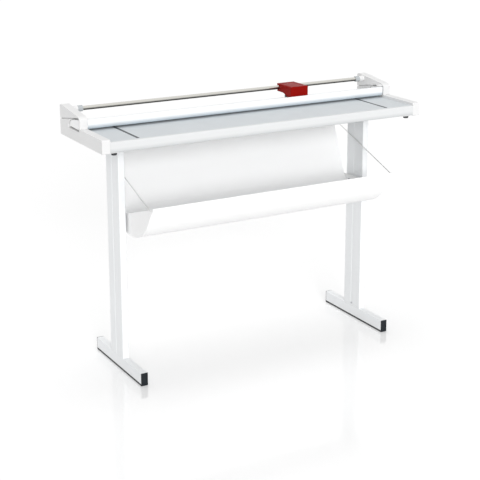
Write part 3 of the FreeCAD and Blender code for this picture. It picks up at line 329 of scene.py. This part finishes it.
def selectWhere(kind, test):
    # picks the vertices, edges or faces that pass the test
    bpy.ops.mesh.select_mode(type=kind)
    bpy.ops.mesh.select_all(action="DESELECT")
    mesh = bmesh.from_edit_mesh(bpy.context.object.data)
    for part in {"VERT": mesh.verts, "EDGE": mesh.edges, "FACE": mesh.faces}[kind]:
        if test(part):
            part.select_set(True)
    bmesh.update_edit_mesh(bpy.context.object.data)


def runsAt(axis, *spots):
    # edges along one axis (0, 1 or 2) through any of the given places in the other two
    others = [index for index in range(3) if index != axis]

    def test(edge):
        return any(
            all(abs(end.co[index] - spot[place] * millimetre) < closeBy
                for end in edge.verts for place, index in enumerate(others))
            for spot in spots)

    return test


def edgesInPlane(axis, place):
    # edges that lie across one axis at one place
    return lambda edge: all(abs(end.co[axis] - place * millimetre) < closeBy for end in edge.verts)


def facing(way, least=0.99):
    way = Vector(way).normalized()
    return lambda face: face.normal.dot(way) > least


def bevelEdges(test, radius, segments):
    selectWhere("EDGE", test)
    bpy.ops.mesh.bevel(offset=radius * millimetre, segments=segments, affect="EDGES")


def roundRuns(rounds, segments):
    # rounds the edges that run along the cut, each place with its own radius
    for spot, radius in rounds:
        bevelEdges(runsAt(0, spot), radius, segments)


def sinkPanel(test, inset, way):
    # a panel inside the edges of the faces that pass the test, moved the given way
    selectWhere("FACE", test)
    bpy.ops.mesh.inset(thickness=inset * millimetre)
    bpy.ops.mesh.extrude_region_move(TRANSFORM_OT_translate={"value": inMetres(way)})


def outwardNormals():
    bpy.ops.mesh.select_mode(type="VERT")
    bpy.ops.mesh.select_all(action="SELECT")
    bpy.ops.mesh.remove_doubles(threshold=0.01 * millimetre)
    bpy.ops.mesh.normals_make_consistent(inside=False)


def traceLine(name, points):
    # a single point, drawn out from place to place
    bpy.ops.object.select_all(action="DESELECT")
    bpy.ops.mesh.primitive_plane_add(size=millimetre, location=inMetres(points[0]))
    piece = bpy.context.object
    piece.name = name
    bpy.ops.object.transform_apply()
    bpy.ops.object.mode_set(mode="EDIT")
    bpy.ops.mesh.select_mode(type="VERT")
    bpy.ops.mesh.select_all(action="SELECT")
    bpy.ops.mesh.merge(type="CENTER")
    for here, there in zip(points, points[1:]):
        step = inMetres(there) - inMetres(here)
        bpy.ops.mesh.extrude_vertices_move(TRANSFORM_OT_translate={"value": step})
    bpy.ops.mesh.select_all(action="SELECT")
    return piece


def extrudeOutline(name, points, way):
    # a closed outline, filled and drawn out to a solid
    piece = traceLine(name, points)
    bpy.ops.mesh.edge_face_add()
    bpy.ops.mesh.extrude_region_move(TRANSFORM_OT_translate={"value": inMetres(way)})
    outwardNormals()
    return piece


def sideOutline(x, spots):
    return [(x, y, z) for y, z in spots]


def addBlock(name, low, high):
    bpy.ops.object.select_all(action="DESELECT")
    middle = (inMetres(low) + inMetres(high)) / 2
    bpy.ops.mesh.primitive_cube_add(size=1, location=middle)
    piece = bpy.context.object
    piece.name = name
    piece.scale = inMetres(high) - inMetres(low)
    bpy.ops.object.transform_apply()
    return piece


def addBar(name, axis, start, long, radius, endRadius=None, sides=64):
    # a round bar or taper from a start point along one axis
    bpy.ops.object.select_all(action="DESELECT")
    turn = {0: (0, math.pi / 2, 0), 1: (-math.pi / 2, 0, 0), 2: (0, 0, 0)}[axis]
    middle = inMetres(start)
    middle[axis] += long * millimetre / 2
    bpy.ops.mesh.primitive_cone_add(vertices=sides, radius1=radius * millimetre,
                                    radius2=(radius if endRadius is None else endRadius) * millimetre,
                                    depth=long * millimetre, location=middle, rotation=turn)
    piece = bpy.context.object
    piece.name = name
    bpy.ops.object.transform_apply()
    return piece


def applyModifier(piece, name, kind, **values):
    pick(piece)
    step = piece.modifiers.new(name, kind)
    for label, value in values.items():
        setattr(step, label, value)
    bpy.ops.object.modifier_apply(modifier=step.name)


def combine(piece, tool, operation):
    applyModifier(piece, "combine", "BOOLEAN", operation=operation, object=tool, solver="EXACT")
    bpy.data.objects.remove(tool)


def drill(piece, name, axis, start, long, radius, sides=24):
    combine(piece, addBar(name, axis, start, long, radius, sides=sides), "DIFFERENCE")


def drillSpring(piece, name, hole):
    # an upright hole for a return spring
    x, y, radius, low, deep = hole
    drill(piece, name, 2, (x, y, low), deep, radius, sides=32)


def softenEdges(piece, width, segments=3, angle=35):
    applyModifier(piece, "softEdges", "BEVEL", width=width * millimetre, segments=segments,
                  limit_method="ANGLE", angle_limit=math.radians(angle))


def mirrorPiece(piece, name):
    pick(piece)
    bpy.ops.object.duplicate(linked=False)
    twin = bpy.context.object
    twin.name = name
    twin.scale.x = -1
    bpy.ops.object.transform_apply()
    return twin


def joinPieces(piece, *others):
    pick(piece)
    for other in others:
        other.select_set(True)
    bpy.ops.object.join()


def finishPiece(piece, *replaced, smooth=40):
    editMode(piece)
    outwardNormals()
    objectMode()
    bpy.ops.object.transform_apply()
    bpy.ops.object.shade_smooth_by_angle(angle=math.radians(smooth))
    applyModifier(piece, "flatFaces", "WEIGHTED_NORMAL", keep_sharp=True)
    slot = slotOf[replaced[0]]
    piece.data.materials.clear()
    piece.data.materials.append(finishes[slot])
    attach(piece, bodyOf[replaced[0]])
    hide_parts(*replaced)


def finishPair(right, leftName, node, smooth=40):
    # mirrors the right piece for the left side and finishes both
    left = mirrorPiece(right, leftName)
    finishPiece(right, "right_" + node, smooth=smooth)
    finishPiece(left, "left_" + node, smooth=smooth)


# cutting head
headCover = {
    "left": 235.0,
    "wide": 79.0,
    "front": 72.5,
    "rear": 180.5,
    "top": 985.0,
    "outline": [(72.5, 943), (101.5, 943), (129.5, 954), (180.5, 954), (180.5, 985), (72.5, 985)],
    "arch": (129.5, 954),
    "archRound": 11.0,
    "skirt": (101.5, 943),
    "skirtRound": 5.0,
    "topRound": 4.8,
    "sideRound": 5.0,
    "openBelow": 962.0,
    "openTilt": -0.2,
    "wall": 2.0,
    "shaft": (165.5, 970.5),
    "shaftHole": 9.5,
    "holeOver": 5.0,
    "panelInset": 10.0,
    "panelDepth": 0.7,
}


def makeHeadCover(size):
    left, wide, top = size["left"], size["wide"], size["top"]
    cover = extrudeOutline("headCover", sideOutline(left, size["outline"]), (wide, 0, 0))
    bevelEdges(runsAt(0, size["arch"]), size["archRound"], segments=8)
    bevelEdges(runsAt(0, size["skirt"]), size["skirtRound"], segments=5)
    bevelEdges(edgesInPlane(2, top), size["topRound"], segments=7)
    corners = [(x, y) for x in (left, left + wide) for y in (size["front"], size["rear"])]
    bevelEdges(runsAt(2, *corners), size["sideRound"], segments=4)
    selectWhere("FACE", lambda face: face.normal.z < size["openTilt"]
                and face.calc_center_median().z < size["openBelow"] * millimetre)
    bpy.ops.mesh.delete(type="FACE")
    objectMode()
    applyModifier(cover, "wall", "SOLIDIFY", thickness=size["wall"] * millimetre, offset=-1,
                  use_even_offset=True)
    editMode(cover)
    outwardNormals()
    objectMode()
    over = size["holeOver"]
    drill(cover, "shaftHole", 0, (left - over, *size["shaft"]), wide + 2 * over, size["shaftHole"], sides=64)
    editMode(cover)
    upward = facing((0, 0, 1))
    sinkPanel(lambda face: upward(face) and face.calc_center_median().z > top * millimetre - closeBy,
              size["panelInset"], (0, 0, -size["panelDepth"]))
    objectMode()
    finishPiece(cover, "head_cover", smooth=32)


# end caps and end blocks, made for the right and mirrored
ends = {
    "inner": 638.0,
    "wide": 31.0,
    "soft": 1.3,
    "cap": [(-175.5, 875), (206.5, 875), (206.5, 932), (103.5, 950.07), (127.5, 925), (127.5, 914),
            (27.5, 914), (27.5, 925), (-175.5, 925)],
    "capTop": (-175.5, 925),
    "capTopRound": 7.0,
    "capLow": [(-175.5, 875), (206.5, 875)],
    "capLowRound": 4.2,
    "shelves": [(-168.5, -134.5), (172.5, 199.5)],
    "shelfOut": 40.0,
    "shelfInto": 3.0,
    "shelfLow": 875.0,
    "shelfHigh": 878.0,
    "springHole": (653.5, 73.5, 6.0, 896.0, 30.0),
    "block": [(20.5, 925), (27.5, 925), (27.5, 960.6), (35.5, 964.4), (206.5, 934.7), (206.5, 984),
              (193.5, 988), (33.5, 969), (20.5, 961)],
    "blockRounds": [((206.5, 984), 6.0), ((193.5, 988), 10.0), ((33.5, 969), 9.0), ((20.5, 961), 4.0)],
    "seat": [(108, 948.0), (204, 931.2), (204, 937), (108, 953)],
    "seatInset": 6.0,
    "shaft": (165.5, 970.5),
    "bossStart": 617.0,
    "bossInto": 6.0,
    "bossRadius": 11.0,
    "bossRound": 1.2,
}


def makeEndCap(size):
    inner = size["inner"]
    cap = extrudeOutline("rightEndCap", sideOutline(inner, size["cap"]), (size["wide"], 0, 0))
    bevelEdges(runsAt(0, size["capTop"]), size["capTopRound"], segments=6)
    bevelEdges(runsAt(0, *size["capLow"]), size["capLowRound"], segments=4)
    objectMode()
    softenEdges(cap, size["soft"])
    for front, rear in size["shelves"]:
        low = (inner - size["shelfOut"], front, size["shelfLow"])
        high = (inner + size["shelfInto"], rear, size["shelfHigh"])
        combine(cap, addBlock("shelf", low, high), "UNION")
    drillSpring(cap, "springHole", size["springHole"])
    return cap


def makeEndBlock(size):
    inner, wide, inset, start = size["inner"], size["wide"], size["seatInset"], size["bossStart"]
    block = extrudeOutline("rightEndBlock", sideOutline(inner, size["block"]), (wide, 0, 0))
    roundRuns(size["blockRounds"], segments=6)
    objectMode()
    softenEdges(block, size["soft"])
    seat = extrudeOutline("seat", sideOutline(inner + inset, size["seat"]), (wide - 2 * inset, 0, 0))
    objectMode()
    combine(block, seat, "UNION")
    boss = addBar("boss", 0, (start, *size["shaft"]), inner - start + size["bossInto"], size["bossRadius"])
    editMode(boss)
    bevelEdges(edgesInPlane(0, start), size["bossRound"], segments=3)
    objectMode()
    combine(block, boss, "UNION")
    return block


def makeEnds(size):
    cap = makeEndCap(size)
    block = makeEndBlock(size)
    finishPair(cap, "leftEndCap", "end_cap")
    finishPair(block, "leftEndBlock", "end_block")


# the clamp bar's end pieces, tongues in the arches of the end blocks
tongue = {
    "inner": 636.0,
    "wide": 31.5,
    "outline": [(33, 921.5), (124.5, 921.5), (100.5, 946.6), (38.4, 956.8), (33, 953.6)],
    "rounds": [((100.5, 946.6), 2.5), ((38.4, 956.8), 2.5), ((33, 953.6), 1.5), ((124.5, 921.5), 1.5)],
    "soft": 0.9,
    "springPocket": (653.5, 73.5, 5.5, 915.0, 16.5),
}


def makeTongues(size):
    right = extrudeOutline("rightClampEnd", sideOutline(size["inner"], size["outline"]), (size["wide"], 0, 0))
    roundRuns(size["rounds"], segments=4)
    objectMode()
    softenEdges(right, size["soft"])
    drillSpring(right, "springPocket", size["springPocket"])
    finishPair(right, "leftClampEnd", "clamp_end")


# clamp bar and front rail, drawn the length of the cut
clampBar = {
    "half": 636.0,
    "outline": [(24.5, 935.5), (32.5, 921.5), (38.5, 921.5), (38.5, 923.5), (46.5, 923.5), (46.5, 921.5),
                (119.5, 921.5), (119.5, 923.5), (127.5, 923.5), (127.5, 921.5), (135.5, 921.5), (135.5, 929),
                (115.5, 940), (107.2, 940), (106.6, 939.5), (105.4, 939.5), (104.8, 940), (70.2, 940),
                (69.6, 939.5), (68.4, 939.5), (67.8, 940), (33.5, 940), (33.5, 956), (24.5, 956)],
    "rounds": [((24.5, 956), 4.0), ((33.5, 956), 2.0), ((24.5, 935.5), 6.0), ((32.5, 921.5), 2.0),
               ((135.5, 929), 3.0), ((115.5, 940), 3.0), ((33.5, 940), 1.5)],
}
frontRail = {
    "half": 638.0,
    "outline": [(-175.5, 878), (-163.5, 878), (-163.5, 880.5), (-173, 880.5), (-173, 912.5), (-163.5, 912.5),
                (-163.5, 915), (-175.5, 915)],
    "rounds": [((-175.5, 915), 5.0), ((-175.5, 878), 3.0)],
}


def makeLongSection(name, size, node):
    bar = extrudeOutline(name, sideOutline(-size["half"], size["outline"]), (2 * size["half"], 0, 0))
    roundRuns(size["rounds"], segments=6)
    objectMode()
    finishPiece(bar, node, smooth=32)


# guide shaft with its two collars
guide = {
    "middle": (165.5, 970.5),
    "radius": 8.0,
    "half": 652.0,
    "endBreak": 0.8,
    "collarStart": 598.0,
    "collar": [(0, 8.05), (0, 10.3), (1.1, 11.4), (4.6, 11.4), (5.0, 10.9), (6.4, 10.9), (6.8, 11.4),
               (12.2, 11.4), (12.6, 10.9), (14.0, 10.9), (14.4, 11.4), (17.9, 11.4), (19, 10.3), (19, 8.05)],
}


def makeGuide(size):
    y, z = size["middle"]
    shaft = addBar("guideShaft", 0, (-size["half"], y, z), 2 * size["half"], size["radius"], sides=72)
    softenEdges(shaft, size["endBreak"], segments=2, angle=60)
    finishPiece(shaft, "guide_shaft")
    # the collar's outline is closed and turned round the shaft
    outline = [(size["collarStart"] + x, y, z + radius) for x, radius in size["collar"]]
    collar = traceLine("rightCollar", outline)
    bpy.ops.mesh.edge_face_add()
    bpy.ops.mesh.delete(type="ONLY_FACE")
    bpy.ops.mesh.select_all(action="SELECT")
    bpy.ops.mesh.spin(steps=64, angle=2 * math.pi, center=inMetres((0, y, z)), axis=(1, 0, 0))
    objectMode()
    finishPair(collar, "leftCollar", "bumper")


# catch tray: one folded sheet, its end plates and its wire stays
tray = {
    "half": 508.0,
    "thick": 1.2,
    "flange": (207.1, 893.0),
    "fold": (207.1, 872.0),
    "foldRound": 3.0,
    "panelFoot": (99.5, 602.0),
    "troughLow": (-66.5, 529.0),
    "rise": (-199.5, 629.0),
    "troughSteps": 36,
    "lip": (-226.5, 672.0),
    "lipRoll": 2.28,
    "lipSteps": 19,
    "lipTurn": 17,
    "ear": [(174.25, 789.6), (182.55, 810.4), (165.9, 811.87), (161.17, 799.98)],
    "earRound": 4.0,
    "notch": (-16.5, 606.0),
    "notchRound": 12.0,
    "upperHook": (169.5, 803.55),
    "lowerHook": (-216.21, 665.37),
    "hookHole": 1.8,
    "screws": [(60.5, 584.0), (16.5, 584.0)],
    "screwHole": 2.65,
    "holeOver": 2.0,
    "stayRadius": 1.6,
    "stayOut": 514.8,
    "hookIn": 504.0,
    "hookBend": 3.2,
}


def circleThrough(first, second, third):
    (ax, ay), (bx, by), (cx, cy) = first, second, third
    scale = 2 * (ax * (by - cy) + bx * (cy - ay) + cx * (ay - by))
    a, b, c = ax * ax + ay * ay, bx * bx + by * by, cx * cx + cy * cy
    middle = ((a * (by - cy) + b * (cy - ay) + c * (ay - by)) / scale,
              (a * (cx - bx) + b * (ax - cx) + c * (bx - ax)) / scale)
    return middle, math.dist(middle, first)


def troughArc(size):
    # the trough's round bottom, without its two ends
    middle, radius = circleThrough(size["panelFoot"], size["troughLow"], size["rise"])
    start, end = [math.atan2(z - middle[1], y - middle[0]) for y, z in (size["panelFoot"], size["rise"])]
    while end > start:
        end -= 2 * math.pi
    count = size["troughSteps"]
    turns = [start + (end - start) * index / count for index in range(1, count)]
    return [(middle[0] + radius * math.cos(turn), middle[1] + radius * math.sin(turn)) for turn in turns]


def lipCurl(size):
    # the front's top edge, rolled round the lip's middle
    rise, lip = Vector(size["rise"]), Vector(size["lip"])
    along = (lip - rise).normalized()
    across = Vector((along.y, -along.x))
    roll = size["lipRoll"]
    turns = [math.radians(step * size["lipTurn"]) for step in range(size["lipSteps"])]
    return [tuple(lip - across * roll * math.cos(turn) + along * roll * math.sin(turn)) for turn in turns]


def makeEar(size, x):
    # one of the two lugs that hold a stay's upper hook
    thick, over = size["thick"], size["holeOver"]
    ear = extrudeOutline("ear", sideOutline(x, size["ear"]), (thick, 0, 0))
    bevelEdges(runsAt(0, *size["ear"][2:]), size["earRound"], segments=5)
    objectMode()
    drill(ear, "hookHole", 0, (x - over, *size["upperHook"]), thick + 2 * over, size["hookHole"])
    return ear


def makeTraySheet(size):
    half, thick = size["half"], size["thick"]
    spots = [size["flange"], size["fold"], size["panelFoot"], *troughArc(size), size["rise"], *lipCurl(size)]
    sheet = traceLine("traySheet", sideOutline(-half, spots))
    bpy.ops.mesh.extrude_region_move(TRANSFORM_OT_translate={"value": inMetres((2 * half, 0, 0))})
    bevelEdges(runsAt(0, size["fold"]), size["foldRound"], segments=4)
    objectMode()
    applyModifier(sheet, "gauge", "SOLIDIFY", thickness=thick * millimetre, offset=0,
                  use_quality_normals=True)
    ears = [makeEar(size, x) for x in (-half, half - thick)]
    joinPieces(sheet, *ears)
    finishPiece(sheet, "tray_sheet", smooth=30)


def makeTrayEnds(size):
    half, thick, over = size["half"], size["thick"], size["holeOver"]
    rim = [size["panelFoot"], *troughArc(size), size["rise"], size["lip"], size["notch"]]
    plate = extrudeOutline("rightTrayEnd", sideOutline(half, rim), (thick, 0, 0))
    bevelEdges(runsAt(0, size["notch"]), size["notchRound"], segments=6)
    objectMode()
    drill(plate, "hookHole", 0, (half - over, *size["lowerHook"]), thick + 2 * over, size["hookHole"])
    for spot in size["screws"]:
        drill(plate, "screwHole", 0, (half - over, *spot), thick + 2 * over, size["screwHole"])
    finishPair(plate, "leftTrayEnd", "tray_end", smooth=30)


def makeStays(size):
    low, high = size["lowerHook"], size["upperHook"]
    inside, out = size["hookIn"], size["stayOut"]
    traceLine("rightStay", [(inside, *low), (out, *low), (out, *high), (inside, *high)])
    selectWhere("VERT", lambda vertex: vertex.co.x > inside * millimetre + closeBy)
    bpy.ops.mesh.bevel(offset=size["hookBend"] * millimetre, segments=7, affect="VERTICES")
    objectMode()
    bpy.ops.object.convert(target="CURVE")
    wire = bpy.context.object
    wire.data.bevel_depth = size["stayRadius"] * millimetre
    wire.data.bevel_resolution = 4
    wire.data.use_fill_caps = True
    bpy.ops.object.convert(target="MESH")
    finishPair(bpy.context.object, "leftStay", "stay")


# stand
stand = {
    "outer": 542.4,
    "postInner": 517.2,
    "postFront": -16.9,
    "postRear": 93.6,
    "postLow": 48.3,
    "postHigh": 872.0,
    "postRound": 3.0,
    "grooveFront": 32.35,
    "grooveRear": 44.35,
    "grooveDepth": 0.8,
    "grooveRound": 0.35,
    "footInner": 516.0,
    "footFront": -175.5,
    "footRear": 229.5,
    "footHigh": 48.3,
    "footRound": 3.0,
    "footLowRound": 1.0,
    "glideHigh": 7.0,
    "glideSoft": 0.9,
    "capThick": 3.2,
    "capRound": 1.4,
    "capPanel": 3.6,
    "capDip": 0.6,
}


def makePost(size):
    low, high, dip = size["postInner"], size["outer"], size["grooveDepth"]
    front, rear, near, far = size["postFront"], size["postRear"], size["grooveFront"], size["grooveRear"]
    outline = [(low, front), (high, front), (high, near), (high - dip, near), (high - dip, far), (high, far),
               (high, rear), (low, rear), (low, far), (low + dip, far), (low + dip, near), (low, near)]
    base = size["postLow"]
    post = extrudeOutline("rightPost", [(x, y, base) for x, y in outline], (0, 0, size["postHigh"] - base))
    corners = [(low, front), (high, front), (high, rear), (low, rear)]
    bevelEdges(runsAt(2, *corners), size["postRound"], segments=6)
    rims = [(high, near), (high, far), (low, far), (low, near)]
    bevelEdges(runsAt(2, *rims), size["grooveRound"], segments=2)
    objectMode()
    return post


def addFootBlock(size, name, front, rear, low, high):
    return addBlock(name, (size["footInner"], front, low), (size["outer"], rear, high))


def makeFootTube(size, front, rear):
    inner, outer, low, high = size["footInner"], size["outer"], size["glideHigh"], size["footHigh"]
    tube = addFootBlock(size, "rightFootTube", front, rear, low, high)
    editMode(tube)
    bevelEdges(runsAt(1, (inner, high), (outer, high)), size["footRound"], segments=6)
    bevelEdges(runsAt(1, (inner, low), (outer, low)), size["footLowRound"], segments=3)
    objectMode()
    return tube


def makeFootGlide(size, front, rear):
    glide = addFootBlock(size, "rightFootGlide", front, rear, 0, size["glideHigh"])
    softenEdges(glide, size["glideSoft"], segments=2)
    return glide


def makeFootCap(size, name, front, way):
    # way is -1 for a cap that faces the operator and 1 for one that faces the rear
    rear = front + size["capThick"]
    cap = addFootBlock(size, name, front, rear, 0, size["footHigh"])
    editMode(cap)
    bevelEdges(edgesInPlane(1, front if way < 0 else rear), size["capRound"], segments=4)
    sinkPanel(facing((0, way, 0)), size["capPanel"], (0, -way * size["capDip"], 0))
    objectMode()
    return cap


def makeStand(size):
    thick, start, end = size["capThick"], size["footFront"], size["footRear"]
    made = [
        (makePost(size), "leftPost", "post"),
        (makeFootTube(size, start + thick, end - thick), "leftFootTube", "foot_tube"),
        (makeFootGlide(size, start + thick, end - thick), "leftFootGlide", "foot_glide"),
        (makeFootCap(size, "rightFrontFootCap", start, -1), "leftFrontFootCap", "front_foot_cap"),
        (makeFootCap(size, "rightRearFootCap", end - thick, 1), "leftRearFootCap", "rear_foot_cap"),
    ]
    for right, leftName, node in made:
        finishPair(right, leftName, node, smooth=32)


# rubber pads under the table's corners
pads = {
    "places": [(-618, -157.5), (618, -157.5), (-618, 188.5), (618, 188.5)],
    "low": 866.0,
    "high": 9.0,
    "lowRadius": 9.35,
    "highRadius": 11.0,
    "round": 1.2,
    "hollow": 3.0,
    "dip": 1.5,
}


def makePads(size):
    made = []
    for x, y in size["places"]:
        pad = addBar("tablePads", 2, (x, y, size["low"]), size["high"], size["lowRadius"], size["highRadius"],
                     sides=48)
        editMode(pad)
        bevelEdges(edgesInPlane(2, size["low"]), size["round"], segments=3)
        sinkPanel(facing((0, 0, -1)), size["hollow"], (0, 0, size["dip"]))
        objectMode()
        made.append(pad)
    joinPieces(*made)
    finishPiece(made[0], "table_pads")


# dark side lines let into the table, standing a little proud
sideLine = {
    "middle": 525.0,
    "wide": 11.0,
    "front": -158.5,
    "rear": 135.5,
    "low": 914.2,
    "high": 915.15,
    "frontFlat": 0.4,
    "soft": 0.3,
}


def makeSideLines(size):
    half = size["wide"] / 2
    left, right = size["middle"] - half, size["middle"] + half
    line = addBlock("rightSideLine", (left, size["front"], size["low"]), (right, size["rear"], size["high"]))
    editMode(line)
    corners = [(left, size["front"]), (right, size["front"])]
    bevelEdges(runsAt(2, *corners), half - size["frontFlat"] / 2, segments=8)
    objectMode()
    softenEdges(line, size["soft"], segments=2, angle=50)
    finishPair(line, "leftSideLine", "side_line")


# width in millimetres of the broken edges on metal pieces that otherwise look as they were packed
brokenEdges = {
    "left_post_plate": 0.6, "right_post_plate": 0.6, "left_bearer": 0.8, "right_bearer": 0.8,
    "front_stiffener": 0.8, "rear_stiffener": 0.8, "knife_carrier": 0.5, "rear_beam": 0.8,
    "head_chassis": 0.5, "cutting_blade": 0.15, "blade_hub": 0.4, "left_clamp_roller": 0.5,
    "right_clamp_roller": 0.5,
}


def makeBrokenEdges(widths, flatWithin=1.0):
    # a copy of each carried solid, with its flat faces merged and its sharp edges broken
    for node, width in widths.items():
        pick(nodes[node])
        bpy.ops.object.duplicate(linked=False)
        piece = bpy.context.object
        first, *others = node.split("_")
        piece.name = first + "".join(word.capitalize() for word in others)
        editMode(piece)
        outwardNormals()
        bpy.ops.mesh.dissolve_limited(angle_limit=math.radians(flatWithin))
        objectMode()
        softenEdges(piece, width, segments=2)
        finishPiece(piece, node)


makeHeadCover(headCover)
print("head cover made")
makeEnds(ends)
print("ends made")
makeTongues(tongue)
makeLongSection("clampBar", clampBar, "clamp_bar")
makeLongSection("frontRail", frontRail, "front_rail")
makeGuide(guide)
print("guide and clamp made")
makeTraySheet(tray)
makeTrayEnds(tray)
makeStays(tray)
print("tray made")
makeStand(stand)
makePads(pads)
makeSideLines(sideLine)
makeBrokenEdges(brokenEdges)
print("stand and trim made")


# floor, backdrop and light
studio = {
    "floorSize": 60.0,
    "floorGlow": 0.22,
    "floorTone": 0.83,
    "floorShine": 0.24,
    "floorBlur": 0.09,
    "fill": 0.70,
    "keyFrom": (0.05, 0.15, 1.0),
    "keyPower": 0.66,
    "keySpread": 28.0,
    "lowFrom": (-0.30, -1.0, 0.28),
    "lowPower": 1.8,
    "lowSpread": 22.0,
    "lampFar": 4.0,
}


def seenRays(made, links, path):
    # 1 for what the camera sees, straight or mirrored, and 0 for the rest
    seen = mathNode(made, "MAXIMUM")
    links.new(path.outputs["Is Camera Ray"], seen.inputs[0])
    links.new(path.outputs["Is Glossy Ray"], seen.inputs[1])
    return seen


def makeFloor():
    # matt white with a weak mirror, and a glow that only the camera sees
    bpy.ops.object.select_all(action="DESELECT")
    bpy.ops.mesh.primitive_plane_add(size=studio["floorSize"], location=(0, 0, 0))
    floor = bpy.context.object
    floor.name = "studioFloor"
    material = bpy.data.materials.new("studioFloorWhite")
    material.use_nodes = True
    made, links = material.node_tree.nodes, material.node_tree.links
    made.clear()
    matt = made.new("ShaderNodeBsdfDiffuse")
    tone = studio["floorTone"]
    matt.inputs["Color"].default_value = (tone, tone, tone, 1)
    glow = made.new("ShaderNodeEmission")
    seen = seenRays(made, links, made.new("ShaderNodeLightPath"))
    strength = mathNode(made, "MULTIPLY")
    strength.inputs[1].default_value = studio["floorGlow"]
    links.new(seen.outputs["Value"], strength.inputs[0])
    links.new(strength.outputs["Value"], glow.inputs["Strength"])
    both = made.new("ShaderNodeAddShader")
    links.new(matt.outputs["BSDF"], both.inputs[0])
    links.new(glow.outputs["Emission"], both.inputs[1])
    shine = made.new("ShaderNodeBsdfGlossy")
    shine.inputs["Roughness"].default_value = studio["floorBlur"]
    mixed = made.new("ShaderNodeMixShader")
    mixed.inputs["Fac"].default_value = studio["floorShine"]
    links.new(both.outputs["Shader"], mixed.inputs[1])
    links.new(shine.outputs["BSDF"], mixed.inputs[2])
    out = made.new("ShaderNodeOutputMaterial")
    links.new(mixed.outputs["Shader"], out.inputs["Surface"])
    floor.data.materials.append(material)


def makeWorld():
    # white where the camera sees it, and the fill light for everything else
    world = bpy.data.worlds.new("studioWorld")
    bpy.context.scene.world = world
    world.use_nodes = True
    made, links = world.node_tree.nodes, world.node_tree.links
    made.clear()
    path = made.new("ShaderNodeLightPath")
    seen = seenRays(made, links, path)
    through = mathNode(made, "MAXIMUM")
    links.new(seen.outputs["Value"], through.inputs[0])
    links.new(path.outputs["Is Transmission Ray"], through.inputs[1])
    level = made.new("ShaderNodeMapRange")
    level.inputs["To Min"].default_value = studio["fill"]
    level.inputs["To Max"].default_value = 1.0
    links.new(through.outputs["Value"], level.inputs["Value"])
    back = made.new("ShaderNodeBackground")
    links.new(level.outputs["Result"], back.inputs["Strength"])
    back.inputs["Color"].default_value = (1, 1, 1, 1)
    out = made.new("ShaderNodeOutputWorld")
    links.new(back.outputs["Background"], out.inputs["Surface"])


def makeSun(name, source, power, spread):
    bpy.ops.object.light_add(type="SUN", location=Vector(source) * studio["lampFar"])
    lamp = bpy.context.object
    lamp.name = name
    lamp.data.energy = power
    lamp.data.angle = math.radians(spread)
    lamp.rotation_euler = (-Vector(source)).to_track_quat("-Z", "Y").to_euler()


makeFloor()
makeWorld()
makeSun("keySun", studio["keyFrom"], studio["keyPower"], studio["keySpread"])
makeSun("lowSun", studio["lowFrom"], studio["lowPower"], studio["lowSpread"])
bpy.context.scene.view_settings.view_transform = "Standard"
print("studio ready")
